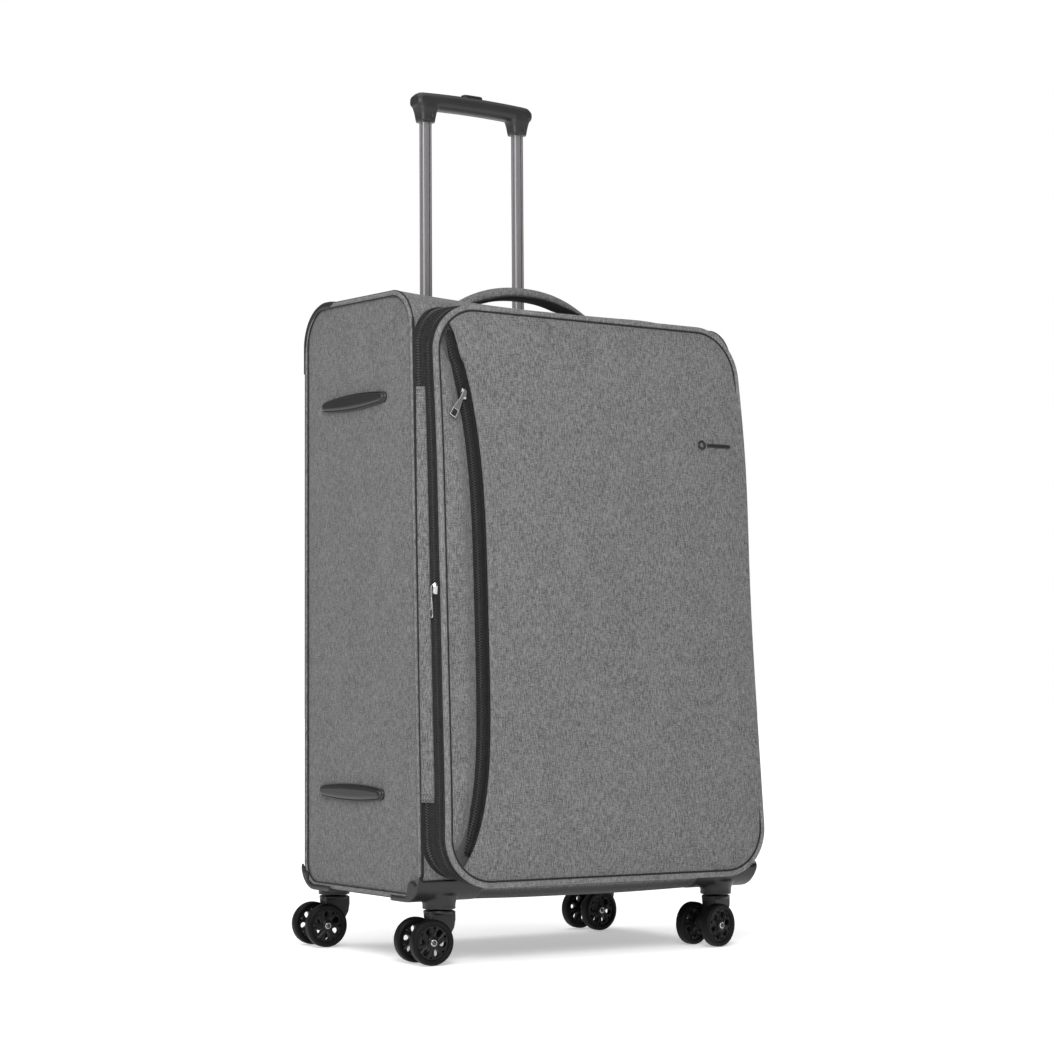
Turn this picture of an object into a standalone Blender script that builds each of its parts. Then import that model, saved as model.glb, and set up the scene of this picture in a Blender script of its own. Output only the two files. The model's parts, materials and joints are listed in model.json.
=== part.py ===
"""Large softside upright suitcase with a pull-out handle, an expander and four twin-wheel casters.

Metres, +Z up, +X to the case's left as it is wheeled, and the front faces -Y. The origin lies on
the floor under the middle of the suitcase. Every piece hangs on an empty at the suitcase's middle,
and each moving piece on an empty on its own joint.
"""

import math

import bmesh
import bpy
from mathutils import Vector

# ---- casters: wheels and what they carry -------------------------------------------------------
WHEEL_RADIUS = 0.0262
WHEEL_WIDTH = 0.0124
WHEEL_STEPS = 32
WHEEL_TRACK = 0.0405
WHEEL_HOLES = 8
WHEEL_HOLE_RADIUS = 0.0034
WHEEL_HOLE_CIRCLE = 0.0150
WHEEL_EDGE = (0.0018, 0.0022)
AXLE_RADIUS = 0.003
AXLE_HEAD = 0.0006
SPIN_CLEARANCE = 0.0003
AXLE_Z = WHEEL_RADIUS * math.cos(math.pi / WHEEL_STEPS)
CASTER_TRAIL = 0.0197
CASTER_STEPS = 24
PIN_STEPS = 16
AXLE_STEPS = 12
FORK_HALF_WIDTH = 0.0115
FORK_PLATE_RADIUS = 0.0170
FORK_TOP_GAP = 0.001
FORK_PLATE_THICKNESS = 0.005
FORK_LEG_REACH = 0.0150
FORK_LEG_SHOULDER = 0.0105
FORK_LEG_DROPS = (0.001, 0.012, 0.021)
STEM_PIN_BURIED = 0.002
STEM_PIN_RADIUS = 0.005
CUP_OVER_WHEEL = 0.0091
CUP_HEIGHT = 0.0115
CUP_DOME = 0.019
CUP_DOME_STEPS = ((0.012, 1.0), (0.005, 0.86), (0.0, 0.5))
CUP_RADIUS_LOW = 0.0195
CUP_RADIUS_HIGH = 0.0215
CUP_BOTTOM_Z = 2 * WHEEL_RADIUS + CUP_OVER_WHEEL
STEM_TOP_Z = CUP_BOTTOM_Z + 0.0065
STEM_TO_SIDE = 0.0389
STEM_TO_FRONT = 0.0297
STEM_TO_BACK = 0.0043
HOUSING_REACH_X = 0.086
HOUSING_REACH_Y = 0.066
HOUSING_HEIGHT = 0.025
HOUSING_WALL = 0.002
HOUSING_OVERCUT = 0.02

# ---- case shell --------------------------------------------------------------------------------
CASE_WIDTH = 0.4786
CASE_HEIGHT = 0.7065
CASE_DEPTH = 0.2804
CASE_REAR_BOTTOM_Y = 0.1317
TOP_RISE_TO_REAR = 0.007
FRONT_LEAN = 0.0292
REAR_LEAN = 0.0106
BOTTOM_FRONT_RADIUS = 0.034
BOTTOM_REAR_RADIUS = 0.030
TOP_REAR_RADIUS = 0.050
TOP_FRONT_RADIUS = 0.050
SHELL_WALL = 0.003
SIDE_WALL = 0.0045
PIPING_SIZE = 0.0045
SIDE_RECESS = 0.001
GAP = 0.0003
ORIGIN_Y = 0.018
CORNER_STEPS = 6
HALF_WIDTH = CASE_WIDTH / 2
CASE_BOTTOM_Z = CUP_BOTTOM_Z + CUP_HEIGHT
CASE_TOP_FRONT_Z = CASE_BOTTOM_Z + CASE_HEIGHT
CASE_TOP_REAR_Z = CASE_TOP_FRONT_Z + TOP_RISE_TO_REAR
CASE_FRONT_BOTTOM_Y = CASE_REAR_BOTTOM_Y - CASE_DEPTH
CASE_FRONT_TOP_Y = CASE_FRONT_BOTTOM_Y + FRONT_LEAN
CASE_REAR_TOP_Y = CASE_REAR_BOTTOM_Y + REAR_LEAN
BACK_SLOPE = REAR_LEAN / (CASE_TOP_REAR_Z - CASE_BOTTOM_Z)
FRONT_SLOPE = FRONT_LEAN / CASE_HEIGHT
BACK_LEAN = math.atan(BACK_SLOPE)
TOP_SLOPE = TOP_RISE_TO_REAR / (CASE_REAR_TOP_Y - CASE_FRONT_TOP_Y)

# ---- front opening and expander ----------------------------------------------------------------
OPENING_MARGIN_SIDE = 0.0180
OPENING_MARGIN_BOTTOM = 0.021
OPENING_MARGIN_TOP = 0.0155
OPENING_RADIUS = 0.045
SLEEVE_CLEARANCE = 0.001
SLEEVE_WALL = 0.002
SLEEVE_LENGTH = 0.045
BAND_MARGIN_SIDE = 0.0043
BAND_MARGIN_BOTTOM = 0.0275
BAND_MARGIN_TOP = 0.0225
BAND_RADIUS = 0.047
BAND_ROOT = 0.0587
STRAP_TO_LID_BOTTOM = 0.0964
STRAP_TO_LID_TOP = 0.100
STRAP_THICKNESS = 0.0012
STRAP_START = 0.02
STRAP_COVER = 0.58

# ---- lid ---------------------------------------------------------------------------------------
LID_MARGIN_TOP = 0.0175
LID_MARGIN_BOTTOM = 0.0156
LID_MARGIN_SIDE_TOP = 0.0193
LID_MARGIN_SIDE_BOTTOM = 0.0088
LID_STAND_TOP = 0.0107
LID_STAND_BOTTOM = 0.0338
LID_RADIUS = 0.060
LID_PIPING = 0.006
LID_REAR = 0.0055
LID_FRONT = 0.0015
LID_TO_BAND = 0.0005
BAND_LIP = 0.001
FLAP_THICKNESS = 0.007
FLAP_BEVEL = 0.010
FLAP_EDGE_INSET = 0.0625
FLAP_EDGE_TOP_POWER = 3
FLAP_EDGE_BOTTOM_POWER = 5
FLAP_EDGE_POINTS = 12
BADGE_SIZE = (0.056, 0.012, 0.0015)
BADGE_TO_RIGHT_EDGE = 0.0475
BADGE_TO_TOP = 0.149
LID_TOP_Z = CASE_TOP_FRONT_Z - LID_MARGIN_TOP
LID_BOTTOM_Z = CASE_BOTTOM_Z + LID_MARGIN_BOTTOM
LID_EDGE_TOP_Y = CASE_FRONT_TOP_Y - LID_STAND_TOP
LID_EDGE_BOTTOM_Y = CASE_FRONT_BOTTOM_Y - LID_STAND_BOTTOM
LID_SLOPE = (LID_EDGE_TOP_Y - LID_EDGE_BOTTOM_Y) / (LID_TOP_Z - LID_BOTTOM_Z)
LID_TAPER = (LID_MARGIN_SIDE_TOP - LID_MARGIN_SIDE_BOTTOM) / (LID_TOP_Z - LID_BOTTOM_Z)

# ---- zips --------------------------------------------------------------------------------------
SLIDER_SIZE = (0.005, 0.007, 0.013)
SLIDER_TO_PIPING = (0.0008, 0.001)
PULL_LENGTH = 0.036
PULL_WIDTH = 0.007
PULL_THICKNESS = 0.0015
PULL_OFF_SLIDER = 0.0007
PULL_TOP = 0.0006
PULL_FRAME = 0.0016
PULL_WINDOW = 0.0085
PULL_HINGE_RISE = 0.2
MAIN_SLIDER_TO_TOP = 0.334
POCKET_SLIDER_TO_TOP = 0.107
POCKET_SLIDER_TO_FLAP = 0.0055
POCKET_PULL_TILT = math.radians(32)

# ---- pull-out handle ---------------------------------------------------------------------------
TUBE_SPACING = 0.1406
TUBE_WIDTH = 0.0165
TUBE_DEPTH = 0.0125
TUBE_RADIUS = 0.0045
TUBE_WALL = 0.0012
TUBE_CLEARANCE = 0.001
OUTER_TUBE_WALL = 0.001
TUBE_TO_PANEL = 0.00125
TUBE_SEAT = 0.015
TUBE_FOOT_HEIGHT = 0.0856
TUBE_OVERLAP = 0.080
PLUG_LENGTH = 0.030
HANDLE_LIFT = 0.255
GRIP_REST_GAP = 0.0013
SOCKET_WALL = (0.0070, 0.0065)
SOCKET_FLARE = (0.0100, 0.0080)
SOCKET_LENGTH = 0.018
SOCKET_DEPTH = 0.015
SOCKET_CORNER = (0.007, 0.011, 0.010)
GRIP_PAST_TUBE = 0.0173
GRIP_BAR_HEIGHT = 0.0185
GRIP_CROWN = 0.003
GRIP_DEPTH = 0.028
GRIP_EDGE_RADIUS = 0.0075
GRIP_STATIONS = 11
GRIP_END_START = 0.9
GRIP_END_TAPER = 0.30
GRIP_END_DROP = 0.003
GRIP_END_RISE = 0.002
SOCKET_TOP_TAPER = 0.002
BUTTON_SIZE = (0.031, 0.012)
BUTTON_RISE = 0.0035
BUTTON_TRAVEL = 0.004
BUTTON_BODY = 0.006
BUTTON_CLEARANCE = 0.0005
BEZEL_PAST_TUBE = 0.0347
BEZEL_FRONT_WALL = 0.01325
BEZEL_HEIGHT = 0.049
BEZEL_UNDER_TOP = 0.0025
BRACKET_HEIGHT = 0.020
LINING_TO_TUBE = 0.00175
LINING_THICKNESS = 0.002
LINING_MARGIN = 0.008
OUTER_TUBE_DEPTH = TUBE_DEPTH + 2 * (TUBE_CLEARANCE + OUTER_TUBE_WALL)
TUBE_TO_BACK = SHELL_WALL + TUBE_TO_PANEL + OUTER_TUBE_DEPTH / 2
LINING_DEPTH = TUBE_TO_BACK + OUTER_TUBE_DEPTH / 2 + LINING_TO_TUBE
BEZEL_HALF_WIDTH = TUBE_SPACING / 2 + BEZEL_PAST_TUBE
BEZEL_DEPTH = TUBE_TO_BACK + OUTER_TUBE_DEPTH / 2 + BEZEL_FRONT_WALL
GRIP_HALF_LENGTH = TUBE_SPACING / 2 + GRIP_PAST_TUBE
GRIP_BOTTOM = HANDLE_LIFT + GRIP_REST_GAP
GRIP_BAR_BOTTOM = GRIP_BOTTOM + SOCKET_LENGTH
GRIP_BAR_TOP = GRIP_BAR_BOTTOM + GRIP_BAR_HEIGHT

# ---- carry handles -----------------------------------------------------------------------------
CARRY_HALF_SPAN = 0.085
CARRY_TAB = 0.016
CARRY_WIDTH = 0.030
CARRY_STATIONS = 15
TOP_HANDLE_RISE = 0.0165
TOP_HANDLE_THICKNESS = 0.014
TOP_HANDLE_Y = 0.020
SIDE_HANDLE_RISE = 0.008
SIDE_HANDLE_THICKNESS = 0.0075
ANCHOR_THICKNESS = 0.0015

# ---- feet and guards ---------------------------------------------------------------------------
FOOT_LENGTH = 0.150
FOOT_HEIGHT = 0.019
FOOT_RISE = 0.0090
FOOT_STEPS = 20
FOOT_SECTIONS = ((0.0, 1.0), (0.6, 0.93), (1.0, 0.72))
FOOT_TO_MIDDLE = 0.0205
FOOT_TO_BOTTOM = 0.118
FOOT_TO_TOP = 0.1235
GUARD_THICKNESS = 0.002
GUARD_WIDTH = 0.027
GUARD_REACH = 0.034
BACK_SEAM = GUARD_REACH + 0.002

# Each caster's name, side, whether it is at the front, and its resting swivel angle.
CASTERS = (
    ("front_left", -1, True, 0.0765),
    ("front_right", 1, True, -0.2095),
    ("rear_left", -1, False, 0.0814),
    ("rear_right", 1, False, -0.0787),
)

COLOURS = {
    "grey_fabric": ((0.165, 0.165, 0.17), 0.9, 0.0),
    "black_fabric": ((0.02, 0.02, 0.021), 0.85, 0.0),
    "lining": ((0.10, 0.10, 0.105), 0.9, 0.0),
    "black_plastic": ((0.028, 0.028, 0.03), 0.5, 0.0),
    "grip_plastic": ((0.045, 0.045, 0.048), 0.42, 0.0),
    "rubber": ((0.015, 0.015, 0.016), 0.6, 0.0),
    "aluminium": ((0.42, 0.42, 0.43), 0.35, 1.0),
    "steel": ((0.55, 0.55, 0.56), 0.3, 1.0),
    "zip_metal": ((0.6, 0.6, 0.62), 0.25, 1.0),
    "badge_metal": ((0.08, 0.08, 0.085), 0.4, 1.0),
}


# ---- scene, materials and meshes ---------------------------------------------------------------
def clear_scene():
    for old in list(bpy.data.objects):
        bpy.data.objects.remove(old, do_unlink=True)


def material_of(name, look):
    """A Principled material of the named look, one to each piece."""
    colour, roughness, metallic = COLOURS[look]
    made = bpy.data.materials.new(name)
    made.use_nodes = True
    shader = made.node_tree.nodes["Principled BSDF"]
    shader.inputs["Base Color"].default_value = (*colour, 1.0)
    shader.inputs["Roughness"].default_value = roughness
    shader.inputs["Metallic"].default_value = metallic
    made.diffuse_color = (*colour, 1.0)
    return made


def empty(name, location, parent=None, turn=(0, 0, 0)):
    made = bpy.data.objects.new(name, None)
    bpy.context.scene.collection.objects.link(made)
    made.empty_display_size = 0.02
    made.location = location
    made.rotation_euler = turn
    made.parent = parent
    return made


def solid(name, loops, look, parent, ring=False):
    """Joins loops of equal length into one closed skin. A ring's last loop meets its first."""
    mesh = bpy.data.meshes.new(name)
    shape = bmesh.new()
    rows = []
    for loop in loops:
        rows.append([shape.verts.new(point) for point in loop])
    pairs = list(zip(rows, rows[1:]))
    if ring:
        pairs.append((rows[-1], rows[0]))
    else:
        shape.faces.new(rows[0])
        shape.faces.new(rows[-1])
    for low, high in pairs:
        for i in range(len(low)):
            j = (i + 1) % len(low)
            shape.faces.new((low[i], low[j], high[j], high[i]))
    bmesh.ops.recalc_face_normals(shape, faces=shape.faces)
    shape.to_mesh(mesh)
    shape.free()
    mesh.shade_smooth()
    mesh.set_sharp_from_angle(angle=math.radians(30))
    mesh.materials.append(material_of(name, look))
    made = bpy.data.objects.new(name, mesh)
    bpy.context.scene.collection.objects.link(made)
    made.parent = parent
    return made


def cutter(name, loops, parent, ring=False):
    made = solid(name, loops, "steel", parent, ring)
    made.hide_render = True
    made.display_type = "WIRE"
    return made


def boolean(target, other, operation):
    made = target.modifiers.new(f"{operation.title()} {other.name}", "BOOLEAN")
    made.operation = operation
    made.solver = "EXACT"
    made.object = other


def box_loops(low, high):
    loops = []
    for z in (low[2], high[2]):
        loops.append([(low[0], low[1], z), (high[0], low[1], z), (high[0], high[1], z), (low[0], high[1], z)])
    return loops


def circle_loop(radius, z, steps, centre=(0, 0)):
    loop = []
    for i in range(steps):
        angle = 2 * math.pi * (i + 0.5) / steps
        loop.append((centre[0] + radius * math.cos(angle), centre[1] + radius * math.sin(angle), z))
    return loop


# ---- outlines ----------------------------------------------------------------------------------
def corner_frame(corners, i):
    """The corner, its two directions along the sides, and half of the angle between them."""
    corner = Vector(corners[i])
    back = (Vector(corners[i - 1]) - corner).normalized()
    ahead = (Vector(corners[(i + 1) % len(corners)]) - corner).normalized()
    return corner, back, ahead, back.angle(ahead) / 2


def rounded_polygon(corners, radii, steps=CORNER_STEPS):
    points = []
    for i, radius in enumerate(radii):
        corner, back, ahead, half = corner_frame(corners, i)
        centre = corner + (back + ahead).normalized() * (radius / math.sin(half))
        start = corner + back * (radius / math.tan(half)) - centre
        finish = corner + ahead * (radius / math.tan(half)) - centre
        sweep = math.pi - 2 * half
        for k in range(steps + 1):
            first = math.sin((1 - k / steps) * sweep) / math.sin(sweep)
            second = math.sin(k / steps * sweep) / math.sin(sweep)
            points.append(centre + start * first + finish * second)
    return [(point.x, point.y) for point in points]


def rounded_rect(half_width, low, high, radius, steps=CORNER_STEPS):
    corners = ((half_width, high), (-half_width, high), (-half_width, low), (half_width, low))
    return rounded_polygon(corners, [radius] * 4, steps)


def case_profile(grow=0.0):
    """The case's side outline as (y, z), grown outwards: bottom front, bottom rear, top rear, top front."""
    corners = (
        (CASE_FRONT_BOTTOM_Y, CASE_BOTTOM_Z),
        (CASE_REAR_BOTTOM_Y, CASE_BOTTOM_Z),
        (CASE_REAR_TOP_Y, CASE_TOP_REAR_Z),
        (CASE_FRONT_TOP_Y, CASE_TOP_FRONT_Z),
    )
    grown = []
    for i in range(len(corners)):
        corner, back, ahead, half = corner_frame(corners, i)
        grown.append(corner - (back + ahead).normalized() * (grow / math.sin(half)))
    radii = (BOTTOM_FRONT_RADIUS, BOTTOM_REAR_RADIUS, TOP_REAR_RADIUS, TOP_FRONT_RADIUS)
    return rounded_polygon(grown, [radius + grow for radius in radii])


def along_x(outline, x):
    return [(x, y, z) for y, z in outline]


def case_front_y(z):
    return CASE_FRONT_BOTTOM_Y + FRONT_SLOPE * (z - CASE_BOTTOM_Z)


def case_back_y(z):
    return CASE_REAR_BOTTOM_Y + BACK_SLOPE * (z - CASE_BOTTOM_Z)


def case_top_z(y):
    return CASE_TOP_FRONT_Z + TOP_SLOPE * (y - CASE_FRONT_TOP_Y)


def lid_edge_y(z):
    return LID_EDGE_BOTTOM_Y + LID_SLOPE * (z - LID_BOTTOM_Z)


def lid_half_width(z):
    return HALF_WIDTH - LID_MARGIN_SIDE_BOTTOM - LID_TAPER * (z - LID_BOTTOM_Z)


def lid_outline(inset):
    """The lid's outline as (x, z), wider towards the bottom."""
    middle = lid_half_width((LID_TOP_Z + LID_BOTTOM_Z) / 2)
    plain = rounded_rect(middle - inset, LID_BOTTOM_Z + inset, LID_TOP_Z - inset, LID_RADIUS - inset)
    return [(x * (lid_half_width(z) - inset) / (middle - inset), z) for x, z in plain]


def at_depth(outline, depth):
    """Stands an (x, z) outline up at the depth that a function of z gives."""
    return [(x, depth(z), z) for x, z in outline]


# ---- case --------------------------------------------------------------------------------------
def build_side_panels(case):
    outline = case_profile(-PIPING_SIZE - GAP)
    for name, side in (("side_panel_left", -1), ("side_panel_right", 1)):
        outer = side * (HALF_WIDTH - SIDE_RECESS)
        inner = side * (HALF_WIDTH - SIDE_RECESS - SIDE_WALL)
        solid(name, [along_x(outline, inner), along_x(outline, outer)], "grey_fabric", case)


def build_case_piping(case):
    outer = case_profile()
    inner = case_profile(-PIPING_SIZE)
    for name, side in (("side_piping_left", -1), ("side_piping_right", 1)):
        near = side * (HALF_WIDTH - PIPING_SIZE)
        far = side * HALF_WIDTH
        loops = [along_x(outer, near), along_x(outer, far), along_x(inner, far), along_x(inner, near)]
        solid(name, loops, "grey_fabric", case, ring=True)


def back_seam(profile):
    """Where the back panel meets the top panel, just below the corner guards."""
    low = Vector(profile[2 * CORNER_STEPS + 1])
    high = Vector(profile[2 * CORNER_STEPS + 2])
    return high + (low - high).normalized() * BACK_SEAM


def shell_strip(name, stretch, look, case, end_gap=0.0):
    """A stretch of the shell over the case's inner width; stretch picks its points from a profile."""
    outer = [Vector(point) for point in stretch(case_profile())]
    inner = [Vector(point) for point in stretch(case_profile(-SHELL_WALL))]
    for side in (outer, inner):
        side[0] += (side[1] - side[0]).normalized() * end_gap
        side[-1] += (side[-2] - side[-1]).normalized() * end_gap
    outline = outer + inner[::-1]
    half = HALF_WIDTH - PIPING_SIZE - GAP
    return solid(name, [along_x(outline, -half), along_x(outline, half)], look, case)


def build_shell(case):
    corner = CORNER_STEPS + 1
    shell_strip("bottom_panel", lambda profile: profile[:2 * corner], "grey_fabric", case)
    shell_strip("back_panel", lambda profile: [profile[2 * corner - 1], back_seam(profile)], "grey_fabric", case, GAP)
    top = shell_strip("top_panel", lambda profile: [back_seam(profile), *profile[2 * corner:]], "grey_fabric", case)
    boolean(top, bezel_room(case), "DIFFERENCE")


def opening_outline(inset):
    half = HALF_WIDTH - PIPING_SIZE - OPENING_MARGIN_SIDE
    profile = case_profile()
    low = profile[0][1] + OPENING_MARGIN_BOTTOM
    high = profile[-1][1] - OPENING_MARGIN_TOP
    return rounded_rect(half - inset, low + inset, high - inset, OPENING_RADIUS - inset)


def build_front_frame(case):
    profile = case_profile()
    half = HALF_WIDTH - PIPING_SIZE - GAP
    outer = rounded_rect(half, profile[0][1] + GAP, profile[-1][1] - GAP, SHELL_WALL)
    inner = opening_outline(0.0)
    loops = [
        at_depth(outer, case_front_y),
        at_depth(outer, lambda z: case_front_y(z) + SHELL_WALL),
        at_depth(inner, lambda z: case_front_y(z) + SHELL_WALL),
        at_depth(inner, case_front_y),
    ]
    solid("front_frame", loops, "black_plastic", case, ring=True)


def build_corner_guards(case):
    """Plastic guards over the top rear corners' piping."""
    corner = CORNER_STEPS + 1
    for name, side in (("corner_guard_left", -1), ("corner_guard_right", 1)):
        rows = []
        for grow in (GAP, GAP + GUARD_THICKNESS):
            arc = [Vector(point) for point in case_profile(grow)[2 * corner:3 * corner]]
            before = arc[0] + (arc[0] - arc[1]).normalized() * GUARD_REACH
            after = arc[-1] + (arc[-1] - arc[-2]).normalized() * GUARD_REACH
            before.x = arc[0].x - BACK_SLOPE * GUARD_REACH
            rows.append([before, *arc, after])
        outline = rows[0] + rows[1][::-1]
        near = side * (HALF_WIDTH - GUARD_WIDTH)
        far = side * HALF_WIDTH
        solid(name, [along_x(outline, near), along_x(outline, far)], "black_plastic", case)


def build_side_feet(case):
    """Lens-shaped feet on the left side, which the case rests on when it lies on that side."""
    root = HALF_WIDTH - SIDE_RECESS + GAP
    middle = (CASE_FRONT_BOTTOM_Y + CASE_REAR_BOTTOM_Y) / 2 + FOOT_TO_MIDDLE
    heights = (("lower", CASE_BOTTOM_Z + FOOT_TO_BOTTOM), ("upper", CASE_TOP_FRONT_Z - FOOT_TO_TOP))
    for label, z in heights:
        loops = []
        for rise, share in FOOT_SECTIONS:
            loop = []
            for i in range(FOOT_STEPS):
                angle = 2 * math.pi * i / FOOT_STEPS
                y = middle + math.cos(angle) * (FOOT_LENGTH - FOOT_HEIGHT * (1 - share)) / 2
                loop.append((-root - rise * FOOT_RISE, y, z + math.sin(angle) * share * FOOT_HEIGHT / 2))
            loops.append(loop)
        solid(f"side_foot_{label}", loops, "black_plastic", case)


# ---- expander and its strap --------------------------------------------------------------------
def band_rear_outline():
    half = HALF_WIDTH - BAND_MARGIN_SIDE
    low = CASE_BOTTOM_Z + BAND_MARGIN_BOTTOM
    return rounded_rect(half, low, CASE_TOP_FRONT_Z - BAND_MARGIN_TOP, BAND_RADIUS)


def band_root_y(z):
    """The band's rear before the case is cut from it, one depth at every height."""
    return CASE_FRONT_BOTTOM_Y + BAND_ROOT


def band_lip_y(z):
    return lid_edge_y(z) + LID_REAR + LID_TO_BAND


def build_expander(case, expander):
    outer = opening_outline(SLEEVE_CLEARANCE)
    inner = opening_outline(SLEEVE_CLEARANCE + SLEEVE_WALL)
    loops = []
    for outline, depth in ((outer, SLEEVE_LENGTH), (outer, -GAP), (inner, -GAP), (inner, SLEEVE_LENGTH)):
        loops.append(at_depth(outline, lambda z, depth=depth: case_front_y(z) + depth))
    solid("expander_sleeve", loops, "black_fabric", expander, ring=True)

    rear = band_rear_outline()
    front = lid_outline(BAND_LIP)
    loops = [
        at_depth(rear, band_root_y),
        at_depth(rear, lambda z: case_front_y(z) - 2 * GAP),
        at_depth(front, band_lip_y),
        at_depth(inner, band_lip_y),
        at_depth(inner, band_root_y),
    ]
    band = solid("expander_band", loops, "black_fabric", expander, ring=True)
    room = case_profile(2 * GAP)
    past = 2 * HALF_WIDTH
    boolean(band, cutter("case_room", [along_x(room, -past), along_x(room, past)], case), "DIFFERENCE")


def band_side(z, share, lift):
    """A point on the band's left side, from the case (share 0) to the lid (share 1), lifted off it."""
    rear_x = HALF_WIDTH - BAND_MARGIN_SIDE
    front_x = lid_half_width(z) - BAND_LIP
    rear_y = case_front_y(z) - 2 * GAP
    front_y = band_lip_y(z)
    x = -(rear_x + (front_x - rear_x) * share) - lift
    return (x, rear_y + (front_y - rear_y) * share, z)


def build_strap(expander):
    """Grey strap sewn over the expander's zip on the left side."""
    loops = []
    for z in (LID_BOTTOM_Z + STRAP_TO_LID_BOTTOM, LID_TOP_Z - STRAP_TO_LID_TOP):
        loops.append([
            band_side(z, STRAP_START, GAP),
            band_side(z, STRAP_COVER, GAP),
            band_side(z, STRAP_COVER, GAP + STRAP_THICKNESS),
            band_side(z, STRAP_START, GAP + STRAP_THICKNESS),
        ])
    solid("side_strap", loops, "grey_fabric", expander)


# ---- lid ---------------------------------------------------------------------------------------
def build_lid(lid):
    panel = lid_outline(LID_PIPING + GAP)
    loops = [
        at_depth(panel, lambda z: lid_edge_y(z) + LID_REAR),
        at_depth(panel, lambda z: lid_edge_y(z) - LID_FRONT),
    ]
    solid("lid_panel", loops, "grey_fabric", lid)
    outer = lid_outline(0.0)
    inner = lid_outline(LID_PIPING)
    half = LID_PIPING / 2
    loops = []
    for outline, depth in ((outer, half), (outer, -half), (inner, -half), (inner, half)):
        loops.append(at_depth(outline, lambda z, depth=depth: lid_edge_y(z) + depth))
    solid("lid_piping", loops, "grey_fabric", lid, ring=True)


def flap_edge_ends(outline):
    """The middles of the outline's lower and upper left corners, where the flap's free edge ends."""
    corner = CORNER_STEPS + 1
    return outline[2 * corner + CORNER_STEPS // 2], outline[corner + CORNER_STEPS // 2]


def flap_left_x(z, low, high):
    """The flap's bowed left edge between its end points, which are (x, z) pairs."""
    middle = (low[1] + high[1]) / 2
    end, power = (high, FLAP_EDGE_TOP_POWER) if z > middle else (low, FLAP_EDGE_BOTTOM_POWER)
    end_inset = end[0] + lid_half_width(end[1])
    share = abs(z - middle) / abs(end[1] - middle)
    return -lid_half_width(z) + FLAP_EDGE_INSET + (end_inset - FLAP_EDGE_INSET) * share ** power


def flap_outline(inset):
    """The pocket's front panel: the lid's outline, cut on the left by a bowed free edge."""
    whole = lid_outline(LID_PIPING + GAP + inset)
    corner = CORNER_STEPS + 1
    half_corner = CORNER_STEPS // 2
    kept = whole[2 * corner + half_corner:] + whole[:corner + half_corner + 1]
    low, high = flap_edge_ends(whole)
    edge = []
    for i in range(1, FLAP_EDGE_POINTS):
        z = high[1] + (low[1] - high[1]) * i / FLAP_EDGE_POINTS
        edge.append((flap_left_x(z, low, high) + inset * 0.5, z))
    return kept + edge


def build_flap(lid):
    root = LID_FRONT + GAP
    loops = [
        at_depth(flap_outline(0.0), lambda z: lid_edge_y(z) - root),
        at_depth(flap_outline(0.0), lambda z: lid_edge_y(z) - root - FLAP_THICKNESS / 2),
        at_depth(flap_outline(FLAP_BEVEL), lambda z: lid_edge_y(z) - root - FLAP_THICKNESS),
    ]
    solid("pocket_flap", loops, "grey_fabric", lid)


def build_badge(lid):
    width, height, thickness = BADGE_SIZE
    middle = LID_TOP_Z - BADGE_TO_TOP
    centre = lid_half_width(middle) - BADGE_TO_RIGHT_EDGE
    root = LID_FRONT + GAP + FLAP_THICKNESS + GAP
    outline = rounded_rect(width / 2, middle - height / 2, middle + height / 2, height / 4, 3)
    placed = [(x + centre, z) for x, z in outline]
    loops = []
    for depth in (root, root + thickness):
        loops.append(at_depth(placed, lambda z, depth=depth: lid_edge_y(z) - depth))
    solid("badge", loops, "badge_metal", lid)


# ---- zip sliders and their pulls ---------------------------------------------------------------
def windowed_pull(name, parent):
    """A flat pull that hangs down -Z from its hinge, thick along Y, with a window at its end."""
    half = PULL_WIDTH / 2
    outline = ((-half, PULL_TOP - half), (-half * 0.55, PULL_TOP), (half * 0.55, PULL_TOP), (half, PULL_TOP - half))
    corners = [*outline, (half, -PULL_LENGTH), (-half, -PULL_LENGTH)]
    loops = []
    for y in (-PULL_THICKNESS / 2, PULL_THICKNESS / 2):
        loops.append([(x, y, z) for x, z in corners])
    pull = solid(name, loops, "zip_metal", parent)
    window = box_loops(
        (-half + PULL_FRAME, -PULL_THICKNESS, -PULL_LENGTH + PULL_FRAME),
        (half - PULL_FRAME, PULL_THICKNESS, -PULL_LENGTH + PULL_WINDOW),
    )
    boolean(pull, cutter(f"{name}_window", window, parent), "DIFFERENCE")


def slider_body(name, parent):
    """A slider's body: a wedge with its back on the zip at Y 0, rising towards -Y."""
    depth, width, height = SLIDER_SIZE
    loops = []
    for y, share in ((0.0, 1.0), (-depth * 0.6, 1.0), (-depth, 0.7)):
        half = width / 2 * share
        top = height / 2 * share
        loops.append([(-half * 0.7, y, -top), (half * 0.7, y, -top), (half, y, top * 0.4), (half * 0.6, y, top),
                      (-half * 0.6, y, top), (-half, y, top * 0.4)])
    solid(name, loops, "zip_metal", parent)


def build_main_slider(expander):
    """The lid zip's slider, on the left side just behind the lid's piping, facing -X."""
    z = LID_TOP_Z - MAIN_SLIDER_TO_TOP
    depth, width, height = SLIDER_SIZE
    aside, behind = SLIDER_TO_PIPING
    place = (-lid_half_width(z) - aside, lid_edge_y(z) + behind + width / 2, z)
    slider = empty("main_slider_axis", place, expander, (0, 0, -math.pi / 2))
    slider_body("main_slider", slider)
    out = depth + PULL_OFF_SLIDER + PULL_THICKNESS / 2
    pull = empty("main_pull_axis", (0, -out, height * PULL_HINGE_RISE), slider)
    windowed_pull("main_pull", pull)


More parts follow.
